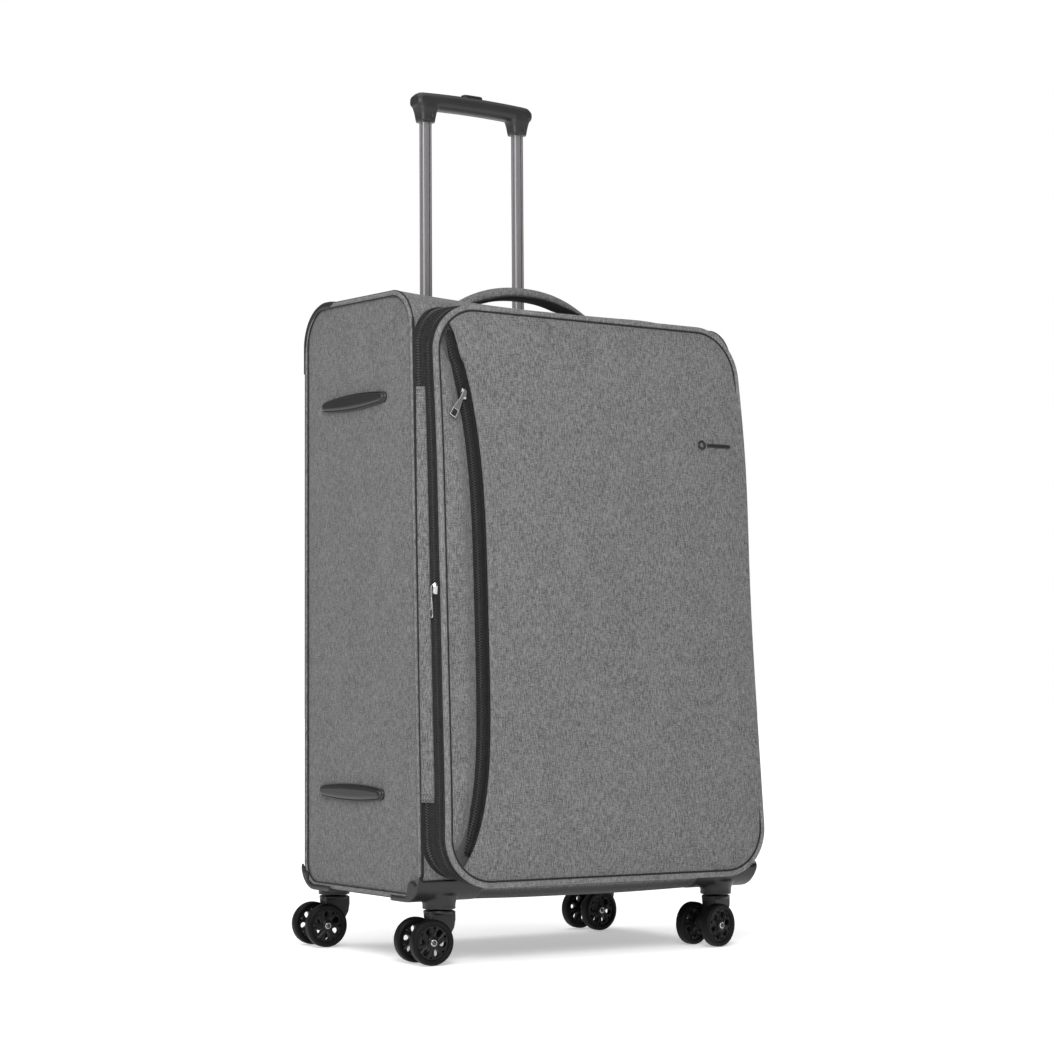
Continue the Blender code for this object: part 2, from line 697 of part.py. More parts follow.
def build_pocket_slider(lid):
    """The pocket zip's slider, beside the flap's free edge, with its pull lying on the lid."""
    z = LID_TOP_Z - POCKET_SLIDER_TO_TOP
    depth, width, height = SLIDER_SIZE
    low, high = flap_edge_ends(lid_outline(LID_PIPING + GAP))
    edge_x = flap_left_x(z, low, high)
    place = (edge_x - POCKET_SLIDER_TO_FLAP - width / 2, lid_edge_y(z) - LID_FRONT - GAP, z)
    lean = -math.atan(LID_SLOPE)
    slider = empty("pocket_slider_axis", place, lid, (lean, 0, 0))
    slider_body("pocket_slider", slider)
    out = depth + PULL_OFF_SLIDER + PULL_THICKNESS / 2
    place = (0, -out, height * PULL_HINGE_RISE)
    pull = empty("pocket_pull_axis", place, slider, (0, POCKET_PULL_TILT, 0))
    windowed_pull("pocket_pull", pull)


# ---- pull-out handle ---------------------------------------------------------------------------
def tube_section(width, depth, radius, centre_x, z, steps=3):
    outline = rounded_polygon(
        ((width / 2, depth / 2), (-width / 2, depth / 2), (-width / 2, -depth / 2), (width / 2, -depth / 2)),
        [radius] * 4, steps)
    return [(x + centre_x, y, z) for x, y in outline]


def hollow_tube(name, centre_x, low, high, width, depth, radius, wall, look, parent):
    loops = [
        tube_section(width, depth, radius, centre_x, low),
        tube_section(width, depth, radius, centre_x, high),
        tube_section(width - 2 * wall, depth - 2 * wall, radius - wall, centre_x, high),
        tube_section(width - 2 * wall, depth - 2 * wall, radius - wall, centre_x, low),
    ]
    solid(name, loops, look, parent, ring=True)


def outer_tube_size(grow=0.0):
    """Width, depth and corner radius of the fixed tube's outside, grown all round."""
    more = 2 * (TUBE_CLEARANCE + OUTER_TUBE_WALL + grow)
    return TUBE_WIDTH + more, TUBE_DEPTH + more, TUBE_RADIUS + more / 2


def exit_height():
    """Height of the handle's exit, which is the bezel's upper face, above the floor."""
    return case_top_z(CASE_REAR_TOP_Y - TUBE_TO_BACK) - BEZEL_UNDER_TOP


def bezel_room(case):
    """The room that the bezel takes out of the top panel, open behind it and above it."""
    half = BEZEL_HALF_WIDTH + GAP
    low = (-half, CASE_REAR_TOP_Y - BEZEL_DEPTH - GAP, exit_height() - BEZEL_HEIGHT - GAP)
    high = (half, CASE_REAR_TOP_Y + BEZEL_DEPTH, exit_height() + BEZEL_HEIGHT)
    return cutter("bezel_room", box_loops(low, high), case)


def build_bezel(case, rail):
    top = exit_height()
    low = (-BEZEL_HALF_WIDTH, CASE_REAR_TOP_Y - BEZEL_DEPTH, top - BEZEL_HEIGHT)
    high = (BEZEL_HALF_WIDTH, CASE_REAR_TOP_Y, top)
    bezel = solid("trolley_bezel", box_loops(low, high), "black_plastic", case)
    for side, label in ((-1, "left"), (1, "right")):
        centre = side * TUBE_SPACING / 2
        width, depth, radius = outer_tube_size(GAP)
        seat = [tube_section(width, depth, radius, centre, z) for z in (-2 * BEZEL_HEIGHT, -TUBE_SEAT + GAP)]
        boolean(bezel, cutter(f"tube_seat_{label}", seat, rail), "DIFFERENCE")
        width = TUBE_WIDTH + TUBE_CLEARANCE
        depth = TUBE_DEPTH + TUBE_CLEARANCE
        radius = TUBE_RADIUS + TUBE_CLEARANCE / 2
        bore = [tube_section(width, depth, radius, centre, z) for z in (-2 * TUBE_SEAT, TUBE_SEAT)]
        boolean(bezel, cutter(f"tube_bore_{label}", bore, rail), "DIFFERENCE")


def build_fixed_tubes(rail):
    width, depth, radius = outer_tube_size()
    top = -TUBE_SEAT
    bottom = CASE_BOTTOM_Z + TUBE_FOOT_HEIGHT - exit_height()
    for side, label in ((-1, "left"), (1, "right")):
        hollow_tube(f"outer_tube_{label}", side * TUBE_SPACING / 2, bottom, top, width, depth, radius,
                    OUTER_TUBE_WALL, "steel", rail)
    half = TUBE_SPACING / 2 + width
    bracket = box_loops((-half, -depth / 2, bottom - GAP - BRACKET_HEIGHT), (half, depth / 2, bottom - GAP))
    solid("tube_bracket", bracket, "black_plastic", rail)


def build_moving_tubes(trolley):
    seat = GRIP_BOTTOM + SOCKET_DEPTH - GAP
    for side, label in ((-1, "left"), (1, "right")):
        centre = side * TUBE_SPACING / 2
        hollow_tube(f"inner_tube_{label}", centre, -TUBE_OVERLAP, seat, TUBE_WIDTH, TUBE_DEPTH, TUBE_RADIUS,
                    TUBE_WALL, "aluminium", trolley)
        width = TUBE_WIDTH + TUBE_CLEARANCE
        depth = TUBE_DEPTH + TUBE_CLEARANCE
        high = -TUBE_OVERLAP - GAP
        plug = [tube_section(width, depth, TUBE_RADIUS, centre, z) for z in (high - PLUG_LENGTH, high)]
        solid(f"guide_plug_{label}", plug, "black_plastic", trolley)


def grip_bar_loops():
    """Sections across the bar from end to end, thinner at its ends and arched along its top."""
    loops = []
    for i in range(GRIP_STATIONS):
        share = 2 * i / (GRIP_STATIONS - 1) - 1
        x = share * GRIP_HALF_LENGTH
        end = max(0.0, (abs(share) - GRIP_END_START) / (1 - GRIP_END_START))
        depth = GRIP_DEPTH * (1 - GRIP_END_TAPER * end)
        top = GRIP_BAR_TOP + GRIP_CROWN * (1 - share ** 2) - GRIP_END_DROP * end
        bottom = GRIP_BAR_BOTTOM + GRIP_END_RISE * end
        middle = (top + bottom) / 2
        radius = min(GRIP_EDGE_RADIUS, 0.45 * (top - bottom))
        section = tube_section(depth, top - bottom, radius, 0.0, 0.0)
        loops.append([(x, y, z + middle) for y, z, _ in section])
    return loops


def socket_loops(centre):
    """One of the grip's legs, flaring from the tube up into the bar."""
    low = (TUBE_WIDTH + SOCKET_WALL[0], TUBE_DEPTH + SOCKET_WALL[1])
    wide = (low[0] + SOCKET_FLARE[0], low[1] + SOCKET_FLARE[1])
    return [
        tube_section(*low, SOCKET_CORNER[0], centre, GRIP_BOTTOM),
        tube_section(*wide, SOCKET_CORNER[1], centre, GRIP_BAR_BOTTOM + GRIP_BAR_HEIGHT / 3),
        tube_section(wide[0] - SOCKET_TOP_TAPER, wide[1] - SOCKET_TOP_TAPER, SOCKET_CORNER[2], centre,
                     GRIP_BAR_BOTTOM + GRIP_BAR_HEIGHT * 2 / 3),
    ]


def build_grip(trolley):
    grip = solid("grip", grip_bar_loops(), "grip_plastic", trolley)
    centres = (("left", -TUBE_SPACING / 2), ("right", TUBE_SPACING / 2))
    for label, centre in centres:
        boolean(grip, cutter(f"grip_socket_{label}", socket_loops(centre), trolley), "UNION")
    for label, centre in centres:
        width = TUBE_WIDTH + 2 * GAP
        depth = TUBE_DEPTH + 2 * GAP
        bore = [tube_section(width, depth, TUBE_RADIUS + GAP, centre, z)
                for z in (GRIP_BOTTOM - SOCKET_DEPTH, GRIP_BOTTOM + SOCKET_DEPTH)]
        boolean(grip, cutter(f"grip_bore_{label}", bore, trolley), "DIFFERENCE")
    return grip


def build_button(grip, trolley, button):
    """The release button, and the well in the grip that it sinks into."""
    length, width = BUTTON_SIZE
    room = 2 * BUTTON_CLEARANCE
    crown = GRIP_BAR_TOP + GRIP_CROWN
    bottom = crown + BUTTON_RISE - BUTTON_TRAVEL - BUTTON_BODY
    well = [tube_section(length + room, width + room, width / 3, 0.0, z)
            for z in (bottom - BUTTON_TRAVEL - 2 * GAP, crown + GRIP_BAR_HEIGHT)]
    boolean(grip, cutter("button_well", well, trolley), "DIFFERENCE")
    cap = [
        tube_section(length, width, width * 0.3, 0.0, bottom),
        tube_section(length, width, width * 0.3, 0.0, crown + BUTTON_RISE * 0.6),
        tube_section(length * 0.87, width * 0.75, width * 0.25, 0.0, crown + BUTTON_RISE),
    ]
    solid("grip_button", cap, "black_plastic", button)


def build_lining(case):
    """The panel inside the case that covers the tubes."""
    half = HALF_WIDTH - SIDE_RECESS - SIDE_WALL - SHELL_WALL
    low_z = CASE_BOTTOM_Z + SHELL_WALL + LINING_MARGIN
    high_z = exit_height() - BEZEL_HEIGHT - LINING_MARGIN
    loops = []
    for z in (low_z, high_z):
        rear = case_back_y(z) - LINING_DEPTH
        front = rear - LINING_THICKNESS
        loops.append([(-half, front, z), (half, front, z), (half, rear, z), (-half, rear, z)])
    solid("back_lining", loops, "lining", case)


# ---- carry handles -----------------------------------------------------------------------------
def arch_loops(half_span, tab, rise, width, thickness):
    """A padded strip along X: flat on its tabs, arched between them, its tabs' underside at Z 0."""
    loops = []
    reach = half_span + tab
    for i in range(CARRY_STATIONS):
        x = reach * (2 * i / (CARRY_STATIONS - 1) - 1)
        share = min(1.0, abs(x) / half_span)
        lift = rise * math.cos(share * math.pi / 2) ** 0.9
        thick = thickness * (0.35 + 0.65 * math.cos(share * math.pi / 2) ** 0.5)
        wide = width * (0.85 + 0.15 * share)
        section = tube_section(wide, thick, thick * 0.42, 0.0, 0.0, 2)
        loops.append([(x, y, z + lift + thick / 2) for y, z, _ in section])
    return loops


def build_carry_handle(name, place, rise, thickness):
    """A carry handle and its two anchor plates, in the frame of the empty that places it."""
    raised = []
    for loop in arch_loops(CARRY_HALF_SPAN, CARRY_TAB, rise, CARRY_WIDTH, thickness):
        raised.append([(x, y, z + ANCHOR_THICKNESS + 2 * GAP) for x, y, z in loop])
    solid(name, raised, "grey_fabric", place)
    for side, label in ((-1, "first"), (1, "second")):
        centre = side * (CARRY_HALF_SPAN + CARRY_TAB / 2)
        half = CARRY_TAB / 2
        low = (centre - half, -CARRY_WIDTH / 2, GAP)
        high = (centre + half, CARRY_WIDTH / 2, GAP + ANCHOR_THICKNESS)
        solid(f"{name}_anchor_{label}", box_loops(low, high), "black_plastic", place)


def build_carry_handles(case):
    top = empty("top_handle_place", (0, TOP_HANDLE_Y, case_top_z(TOP_HANDLE_Y)), case, (math.atan(TOP_SLOPE), 0, 0))
    build_carry_handle("top_handle", top, TOP_HANDLE_RISE, TOP_HANDLE_THICKNESS)
    middle_z = (CASE_BOTTOM_Z + CASE_TOP_FRONT_Z) / 2
    middle_y = (case_front_y(middle_z) + case_back_y(middle_z)) / 2
    place = (HALF_WIDTH - SIDE_RECESS, middle_y, middle_z)
    side = empty("side_handle_place", place, case, (0, math.pi / 2, 0))
    build_carry_handle("side_handle", side, SIDE_HANDLE_RISE, SIDE_HANDLE_THICKNESS)


# ---- casters -----------------------------------------------------------------------------------
def build_housing(name, side, at_front, stem, case):
    """A corner guard that wraps the case's bottom corner, with the caster's cup below it."""
    past = HOUSING_OVERCUT
    wide = HALF_WIDTH + past
    far = side * wide
    near = side * (HALF_WIDTH - HOUSING_REACH_X)
    if at_front:
        ends = (CASE_FRONT_BOTTOM_Y - past, CASE_FRONT_BOTTOM_Y + HOUSING_REACH_Y)
    else:
        ends = (CASE_REAR_BOTTOM_Y - HOUSING_REACH_Y, CASE_REAR_BOTTOM_Y + past)
    low = (min(far, near), ends[0], CASE_BOTTOM_Z - past)
    high = (max(far, near), ends[1], CASE_BOTTOM_Z + HOUSING_HEIGHT)
    housing = solid(f"wheel_housing_{name}", box_loops(low, high), "black_plastic", case)
    skin = case_profile(GAP + HOUSING_WALL)
    half = HALF_WIDTH + GAP + HOUSING_WALL
    loops = [along_x(skin, -half), along_x(skin, half)]
    boolean(housing, cutter(f"housing_skin_{name}", loops, case), "INTERSECT")
    dome = CASE_BOTTOM_Z + CUP_DOME
    cup = [circle_loop(CUP_RADIUS_LOW, CUP_BOTTOM_Z, CASTER_STEPS, stem)]
    for drop, share in CUP_DOME_STEPS:
        cup.append(circle_loop(CUP_RADIUS_HIGH * share, dome - drop, CASTER_STEPS, stem))
    boolean(housing, cutter(f"cup_{name}", cup, case), "UNION")
    room = case_profile(GAP)
    half = HALF_WIDTH + GAP
    loops = [along_x(room, -half), along_x(room, half)]
    boolean(housing, cutter(f"housing_room_{name}", loops, case), "DIFFERENCE")
    radius = STEM_PIN_RADIUS + SPIN_CLEARANCE
    bore = [circle_loop(radius, z, PIN_STEPS, stem) for z in (CUP_BOTTOM_Z - CUP_HEIGHT, STEM_TOP_Z + FORK_TOP_GAP)]
    boolean(housing, cutter(f"stem_bore_{name}", bore, case), "DIFFERENCE")


def along_axle(outline, y):
    return [(x, y, z) for x, z in outline]


def circle_outline(radius, steps, centre):
    points = []
    for i in range(steps):
        angle = 2 * math.pi * (i + 0.5) / steps
        points.append((centre[0] + radius * math.cos(angle), centre[1] + radius * math.sin(angle)))
    return points


def build_fork(name, fork):
    """A fork in the caster's frame: its swivel axis at X 0, its axle at the trail on +X."""
    top = CUP_BOTTOM_Z - FORK_TOP_GAP
    plate = [circle_loop(FORK_PLATE_RADIUS, z, CASTER_STEPS) for z in (top - FORK_PLATE_THICKNESS, top)]
    made = solid(f"caster_fork_{name}", plate, "black_plastic", fork)
    axle = (CASTER_TRAIL, AXLE_Z)
    boss = 2.5 * AXLE_RADIUS
    high, middle, low = FORK_LEG_DROPS
    leg = (
        (-FORK_LEG_REACH, top - high),
        (-FORK_LEG_REACH, top - middle),
        (-FORK_LEG_SHOULDER, top - low),
        (axle[0] - 2.3 * boss, AXLE_Z - boss / 2),
        (axle[0] - boss * 0.9, AXLE_Z - boss),
        (axle[0] + boss * 0.4, AXLE_Z - boss),
        (axle[0] + boss, AXLE_Z),
        (axle[0] + boss * 0.7, AXLE_Z + boss),
        (FORK_LEG_REACH, top - high),
    )
    loops = [along_axle(leg, -FORK_HALF_WIDTH), along_axle(leg, FORK_HALF_WIDTH)]
    boolean(made, cutter(f"fork_leg_{name}", loops, fork), "UNION")
    pin = [circle_loop(STEM_PIN_RADIUS, z, PIN_STEPS) for z in (top - STEM_PIN_BURIED, STEM_TOP_Z)]
    boolean(made, cutter(f"stem_pin_{name}", pin, fork), "UNION")
    past = 2 * FORK_HALF_WIDTH
    bore = circle_outline(AXLE_RADIUS + GAP, AXLE_STEPS, axle)
    loops = [along_axle(bore, -past), along_axle(bore, past)]
    boolean(made, cutter(f"fork_bore_{name}", loops, fork), "DIFFERENCE")
    reach = (WHEEL_TRACK + WHEEL_WIDTH) / 2 + AXLE_HEAD
    pin = circle_outline(AXLE_RADIUS, AXLE_STEPS, axle)
    solid(f"caster_axle_{name}", [along_axle(pin, -reach), along_axle(pin, reach)], "steel", fork)


def build_wheel(name, wheel):
    """A wheel about its own empty's Y axis, with see-through holes between its spokes."""
    half = WHEEL_WIDTH / 2
    bore = AXLE_RADIUS + SPIN_CLEARANCE
    tread = half - WHEEL_EDGE[1]
    shoulder = WHEEL_RADIUS - WHEEL_EDGE[0]
    profile = ((bore, -half), (bore, half), (shoulder, half), (WHEEL_RADIUS, tread), (WHEEL_RADIUS, -tread),
               (shoulder, -half))
    loops = []
    for i in range(WHEEL_STEPS):
        angle = 2 * math.pi * (i + 0.5) / WHEEL_STEPS
        loops.append([(r * math.cos(angle), y, r * math.sin(angle)) for r, y in profile])
    made = solid(name, loops, "rubber", wheel, ring=True)
    for i in range(WHEEL_HOLES):
        angle = 2 * math.pi * i / WHEEL_HOLES
        centre = (WHEEL_HOLE_CIRCLE * math.cos(angle), WHEEL_HOLE_CIRCLE * math.sin(angle))
        hole = circle_outline(WHEEL_HOLE_RADIUS, 6, centre)
        loops = [along_axle(hole, -WHEEL_WIDTH), along_axle(hole, WHEEL_WIDTH)]
        boolean(made, cutter(f"{name}_hole_{i}", loops, wheel), "DIFFERENCE")


def build_casters(case):
    for name, side, at_front, rest in CASTERS:
        stem_y = CASE_FRONT_BOTTOM_Y + STEM_TO_FRONT if at_front else CASE_REAR_BOTTOM_Y - STEM_TO_BACK
        stem = (side * (HALF_WIDTH - STEM_TO_SIDE), stem_y)
        build_housing(name, side, at_front, stem, case)
        fork = empty(f"swivel_{name}", (*stem, 0), case, (0, 0, math.pi - rest))
        build_fork(name, fork)
        for place, label in ((-1, "inner"), (1, "outer")):
            centre = (CASTER_TRAIL, place * WHEEL_TRACK / 2, AXLE_Z)
            wheel = empty(f"spin_{name}_{label}", centre, fork)
            build_wheel(f"wheel_{name}_{label}", wheel)


def build_suitcase():
    clear_scene()
    case = empty("suitcase", (0, ORIGIN_Y, 0))
    build_side_panels(case)
    build_case_piping(case)
    build_shell(case)
    build_front_frame(case)
    build_corner_guards(case)
    build_side_feet(case)
    expander = empty("expander_place", (0, 0, 0), case)
    build_expander(case, expander)
    build_strap(expander)
    build_main_slider(expander)
    lid = empty("lid_place", (0, 0, 0), expander)
    build_lid(lid)
    build_flap(lid)
    build_badge(lid)
    build_pocket_slider(lid)
    exit_z = exit_height()
    rail = empty("trolley_rail", (0, case_back_y(exit_z) - TUBE_TO_BACK, exit_z), case, (-BACK_LEAN, 0, 0))
    build_bezel(case, rail)
    build_fixed_tubes(rail)
    trolley = empty("trolley_place", (0, 0, 0), rail)
    build_moving_tubes(trolley)
    button = empty("button_place", (0, 0, 0), trolley)
    grip = build_grip(trolley)
    build_button(grip, trolley, button)
    build_lining(case)
    build_carry_handles(case)
    build_casters(case)


build_suitcase()
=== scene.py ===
import json
import math
from collections import Counter

import bmesh
import bpy
import numpy as np
from mathutils import Matrix, Vector, noise

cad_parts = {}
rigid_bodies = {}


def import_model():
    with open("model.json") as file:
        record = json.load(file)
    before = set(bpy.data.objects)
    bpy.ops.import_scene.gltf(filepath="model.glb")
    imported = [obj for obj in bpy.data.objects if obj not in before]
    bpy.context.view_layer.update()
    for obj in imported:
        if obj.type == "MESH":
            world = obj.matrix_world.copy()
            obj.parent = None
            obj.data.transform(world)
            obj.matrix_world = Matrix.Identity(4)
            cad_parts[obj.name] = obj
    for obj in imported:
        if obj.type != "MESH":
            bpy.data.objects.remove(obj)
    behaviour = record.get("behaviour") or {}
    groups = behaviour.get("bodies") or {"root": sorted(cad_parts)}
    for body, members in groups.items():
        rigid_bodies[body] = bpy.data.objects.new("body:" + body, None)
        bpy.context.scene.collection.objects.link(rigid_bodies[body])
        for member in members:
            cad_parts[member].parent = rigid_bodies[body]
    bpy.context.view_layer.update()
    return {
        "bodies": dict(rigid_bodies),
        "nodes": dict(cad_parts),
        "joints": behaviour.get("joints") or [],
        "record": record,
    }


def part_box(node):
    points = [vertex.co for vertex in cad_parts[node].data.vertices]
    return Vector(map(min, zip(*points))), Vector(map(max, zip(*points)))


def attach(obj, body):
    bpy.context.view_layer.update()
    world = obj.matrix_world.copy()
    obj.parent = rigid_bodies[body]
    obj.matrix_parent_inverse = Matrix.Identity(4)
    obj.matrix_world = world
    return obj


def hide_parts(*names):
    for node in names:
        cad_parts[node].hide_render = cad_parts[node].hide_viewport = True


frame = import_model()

nodes = frame["nodes"]
CORNERS = ("front_left", "front_right", "rear_left", "rear_right")

# ---- the case's planes, in metres, as the CAD has them -------------------------------------------
HALF_WIDTH = 0.2393
CASE_LOW = 0.073
CASE_HIGH = 0.7795
CASE_HIGH_REAR = 0.7865
FRONT_LOW_Y = -0.1307
FRONT_HIGH_Y = -0.1015
REAR_LOW_Y = 0.1497
REAR_HIGH_Y = 0.1603
CORNER_RADII = (0.034, 0.030, 0.050, 0.050)
LID_LOW = 0.0886
LID_HIGH = 0.7620
LID_LOW_Y = -0.1645
LID_HIGH_Y = -0.1122
LID_HALF_LOW = 0.2305
LID_HALF_HIGH = 0.2200
LID_RADIUS = 0.060
BAND_HALF = 0.2385
BAND_LOW = 0.0995
BAND_HIGH = 0.7570
BAND_RADIUS = 0.043
PIPE = 0.0027
FLAP_INSET = 0.0625
TUBE_X = 0.0703
BEZEL_HALF, BEZEL_Y, BEZEL_Z = 0.1056, 0.1256, 0.7340
WELD = 1e-6


def lid_y(z):
    return LID_LOW_Y + (LID_HIGH_Y - LID_LOW_Y) / (LID_HIGH - LID_LOW) * (z - LID_LOW)


def lid_half(z):
    return LID_HALF_LOW + (LID_HALF_HIGH - LID_HALF_LOW) / (LID_HIGH - LID_LOW) * (z - LID_LOW)


# ---- node materials ------------------------------------------------------------------------------
class Nodes:
    """A small builder for one material's node tree."""

    def __init__(self, name):
        self.material = bpy.data.materials.new(name)
        self.material.use_nodes = True
        self.tree = self.material.node_tree
        self.shader = self.tree.nodes["Principled BSDF"]

    def add(self, kind, **values):
        node = self.tree.nodes.new(kind)
        for key, value in values.items():
            setattr(node, key, value)
        return node

    def link(self, source, target):
        self.tree.links.new(source, target)

    def put(self, value, socket):
        if isinstance(value, bpy.types.NodeSocket):
            self.link(value, socket)
        else:
            socket.default_value = value

    def surface(self, values):
        """Links or sets inputs of the shader."""
        for name, value in values.items():
            self.put(value, self.shader.inputs[name])

    def math(self, operation, a, b=0.0, clamp=False):
        node = self.add("ShaderNodeMath", operation=operation, use_clamp=clamp)
        self.put(a, node.inputs[0])
        self.put(b, node.inputs[1])
        return node.outputs[0]

    def scaled(self, value, factor, offset=0.0, clamp=False):
        return self.math("ADD", self.math("MULTIPLY", value, factor), offset, clamp)

    def beyond(self, value, start, factor):
        """Rises from 0 where a value passes start, and stops at 1."""
        return self.math("MULTIPLY", self.math("SUBTRACT", value, start), factor, True)

    def blend(self, share, a, b):
        """Mixes two numbers."""
        node = self.add("ShaderNodeMix", data_type="FLOAT")
        for value, socket in ((share, 0), (a, 2), (b, 3)):
            self.put(value, node.inputs[socket])
        return node.outputs[0]

    def colour(self, share, a, b):
        node = self.add("ShaderNodeMix", data_type="RGBA")
        self.put(share, node.inputs[0])
        for value, socket in ((a, 6), (b, 7)):
            self.put((*value, 1.0) if isinstance(value, tuple) else value, node.inputs[socket])
        return node.outputs[2]

    def parts_of(self, kind, output):
        """The three numbers of a vector that a node of this kind gives."""
        split = self.add("ShaderNodeSeparateXYZ")
        self.link(self.add(kind).outputs[output], split.inputs[0])
        return split.outputs

    def across(self):
        """Two coordinates that run across whichever side of the case a face is on."""
        x, y, z = self.parts_of("ShaderNodeTexCoord", "Object")
        normal = self.parts_of("ShaderNodeNewGeometry", "Normal")
        sideways = self.math("GREATER_THAN", self.math("ABSOLUTE", normal[0]), 0.72)
        upwards = self.math("GREATER_THAN", self.math("ABSOLUTE", normal[2]), 0.72)
        return self.blend(sideways, x, y), self.blend(upwards, z, y)

    def cloud(self, vector, scale, detail, distortion=0.0):
        texture = self.add("ShaderNodeTexNoise")
        for name, value in (("Scale", scale), ("Detail", detail), ("Distortion", distortion)):
            texture.inputs[name].default_value = value
        self.link(vector, texture.inputs["Vector"])
        return texture.outputs[0]

    def stretched(self, u, v, across, along, detail=2.0, seed=0.0):
        vector = self.add("ShaderNodeCombineXYZ")
        self.link(self.math("MULTIPLY", u, across), vector.inputs[0])
        self.link(self.math("MULTIPLY", v, along), vector.inputs[1])
        vector.inputs[2].default_value = seed
        return self.cloud(vector.outputs[0], 1.0, detail, 0.9)

    def grain(self, scale, detail=3.0):
        return self.cloud(self.add("ShaderNodeTexCoord").outputs["Object"], scale, detail)

    def bump(self, height, distance, strength=1.0):
        node = self.add("ShaderNodeBump")
        for name, value in (("Strength", strength), ("Distance", distance), ("Height", height)):
            self.put(value, node.inputs[name])
        self.link(node.outputs[0], self.shader.inputs["Normal"])

    def wave(self, u, pitch):
        return self.math("SINE", self.math("MULTIPLY", u, 2 * math.pi / pitch))


def woven(name, dark, light, contrast=1.0, pitch=0.0011, depth=0.00018, sheen=0.12, under=None):
    """A melange plain weave: slubs both ways, flecks, and the weave itself; under is painted shade, a darker
    colour for faces that point down.
    """
    made = Nodes(name)
    u, v = made.across()
    warp = made.stretched(u, v, 1500.0, 130.0, 3.0)
    weft = made.stretched(u, v, 160.0, 1550.0, 3.0, 4.0)
    fleck = made.stretched(u, v, 1250.0, 1150.0, 1.0, 9.0)
    broad = made.stretched(u, v, 26.0, 18.0, 2.0, 2.0)
    total = 0.0
    for layer, weight in ((warp, 0.44), (weft, 0.30), (fleck, 0.22), (broad, 0.04)):
        total = made.scaled(layer, weight, total)
    tone = made.colour(made.scaled(made.math("SUBTRACT", total, 0.5), 8.0 * contrast, 0.5, True), dark, light)
    # Painted shade: faces that point down are blended towards the under colour.
    if under:
        down = made.math("MULTIPLY", made.parts_of("ShaderNodeNewGeometry", "Normal")[2], -1.0)
        tone = made.colour(made.beyond(down, 0.45, 3.0), tone, under)
    weave = made.math("MULTIPLY", made.wave(u, pitch), made.wave(v, pitch * 0.9))
    made.bump(made.scaled(weave, 0.5, made.math("MULTIPLY", total, 1.6)), depth, 0.8)
    made.surface({"Base Color": tone, "Roughness": made.scaled(fleck, 0.12, 0.80), "Sheen Weight": sheen,
                  "Sheen Roughness": 0.4, "Specular IOR Level": 0.25})
    return made.material


def moulded(name, colour, rough, grain_scale=900.0, depth=0.00004, spread=0.06, specular=0.5):
    """Moulded plastic or rubber with a fine texture and uneven gloss."""
    made = Nodes(name)
    broad = made.grain(35.0)
    worn = tuple(min(1.0, c * 1.5 + 0.004) for c in colour)
    made.surface({"Base Color": made.colour(made.beyond(broad, 0.35, 1.2), colour, worn),
                  "Roughness": made.scaled(broad, spread * 2, rough - spread),
                  "Specular IOR Level": specular})
    made.bump(made.grain(grain_scale), depth, 0.7)
    return made.material


def metal(name, colour, rough, brushed=None):
    """Metal; brushed is how finely its grain repeats along Z, where it has one."""
    made = Nodes(name)
    if brushed:
        x, y, z = made.parts_of("ShaderNodeTexCoord", "Object")
        streak = made.stretched(made.math("ADD", x, y), z, 2600.0, brushed, 3.0)
    else:
        streak = made.grain(400.0)
    darker = tuple(c * 0.78 for c in colour)
    made.surface({"Metallic": 1.0, "Base Color": made.colour(streak, darker, colour),
                  "Roughness": made.scaled(streak, 0.16, rough - 0.08)})
    made.bump(streak, 0.00003, 0.5)
    return made.material


MELANGE = (0.050, 0.0505, 0.052), (0.190, 0.190, 0.189)
GREY = woven("melange_fabric", *MELANGE)
# The shell's wrap carries painted shade on its underside, from the under colour.
SHELL_GREY_SHADED_BELOW = woven("shell_fabric_painted_underside_shade", *MELANGE, under=(0.026, 0.026, 0.027))
GREY_PIPING = woven("piping_fabric", (0.064, 0.064, 0.066), (0.215, 0.215, 0.213))
BLACK_WEAVE = woven("black_weave", (0.005, 0.005, 0.0055), (0.022, 0.022, 0.023), 0.8, 0.0009, 0.00015, 0.05)
# Black zip tape, dark enough to serve also as painted shade in the pocket's gap.
ZIP_TAPE_AND_GAP_SHADE = woven("zip_tape_and_painted_gap_shade", (0.004, 0.004, 0.0045), (0.020, 0.020, 0.021), 0.7, 0.0008, 0.00015, 0.06)
LINING = woven("lining_cloth", (0.050, 0.050, 0.054), (0.085, 0.085, 0.090), 0.5, 0.0010, 0.00008, 0.15)
STRAP_LINING = woven("handle_lining", (0.016, 0.016, 0.018), (0.030, 0.030, 0.032), 0.5, 0.0008, 0.00006, 0.1)
THREAD_DARK = woven("dark_thread", (0.006, 0.006, 0.006), (0.020, 0.020, 0.020), 0.8, 0.0005, 0.00005, 0.1)
THREAD_LIGHT = woven("light_thread", (0.30, 0.30, 0.30), (0.52, 0.52, 0.51), 0.8, 0.0005, 0.00005, 0.1)
PLASTIC = moulded("satin_plastic", (0.010, 0.0097, 0.0105), 0.40, specular=0.35)
FOOT_PLASTIC = moulded("foot_plastic", (0.010, 0.0095, 0.0112), 0.34, specular=0.4)
GRIP_PLASTIC = moulded("grip_plastic_finish", (0.017, 0.0165, 0.018), 0.40, 1200.0, 0.00003, specular=0.4)
WHEEL_PLASTIC = moulded("wheel_plastic", (0.004, 0.0038, 0.004), 0.36, specular=0.25)
TYRE = moulded("tyre_rubber", (0.003, 0.0028, 0.003), 0.55, 700.0, 0.00006, specular=0.15)
ALUMINIUM = metal("anodised_aluminium", (0.34, 0.33, 0.34), 0.58, 6.0)
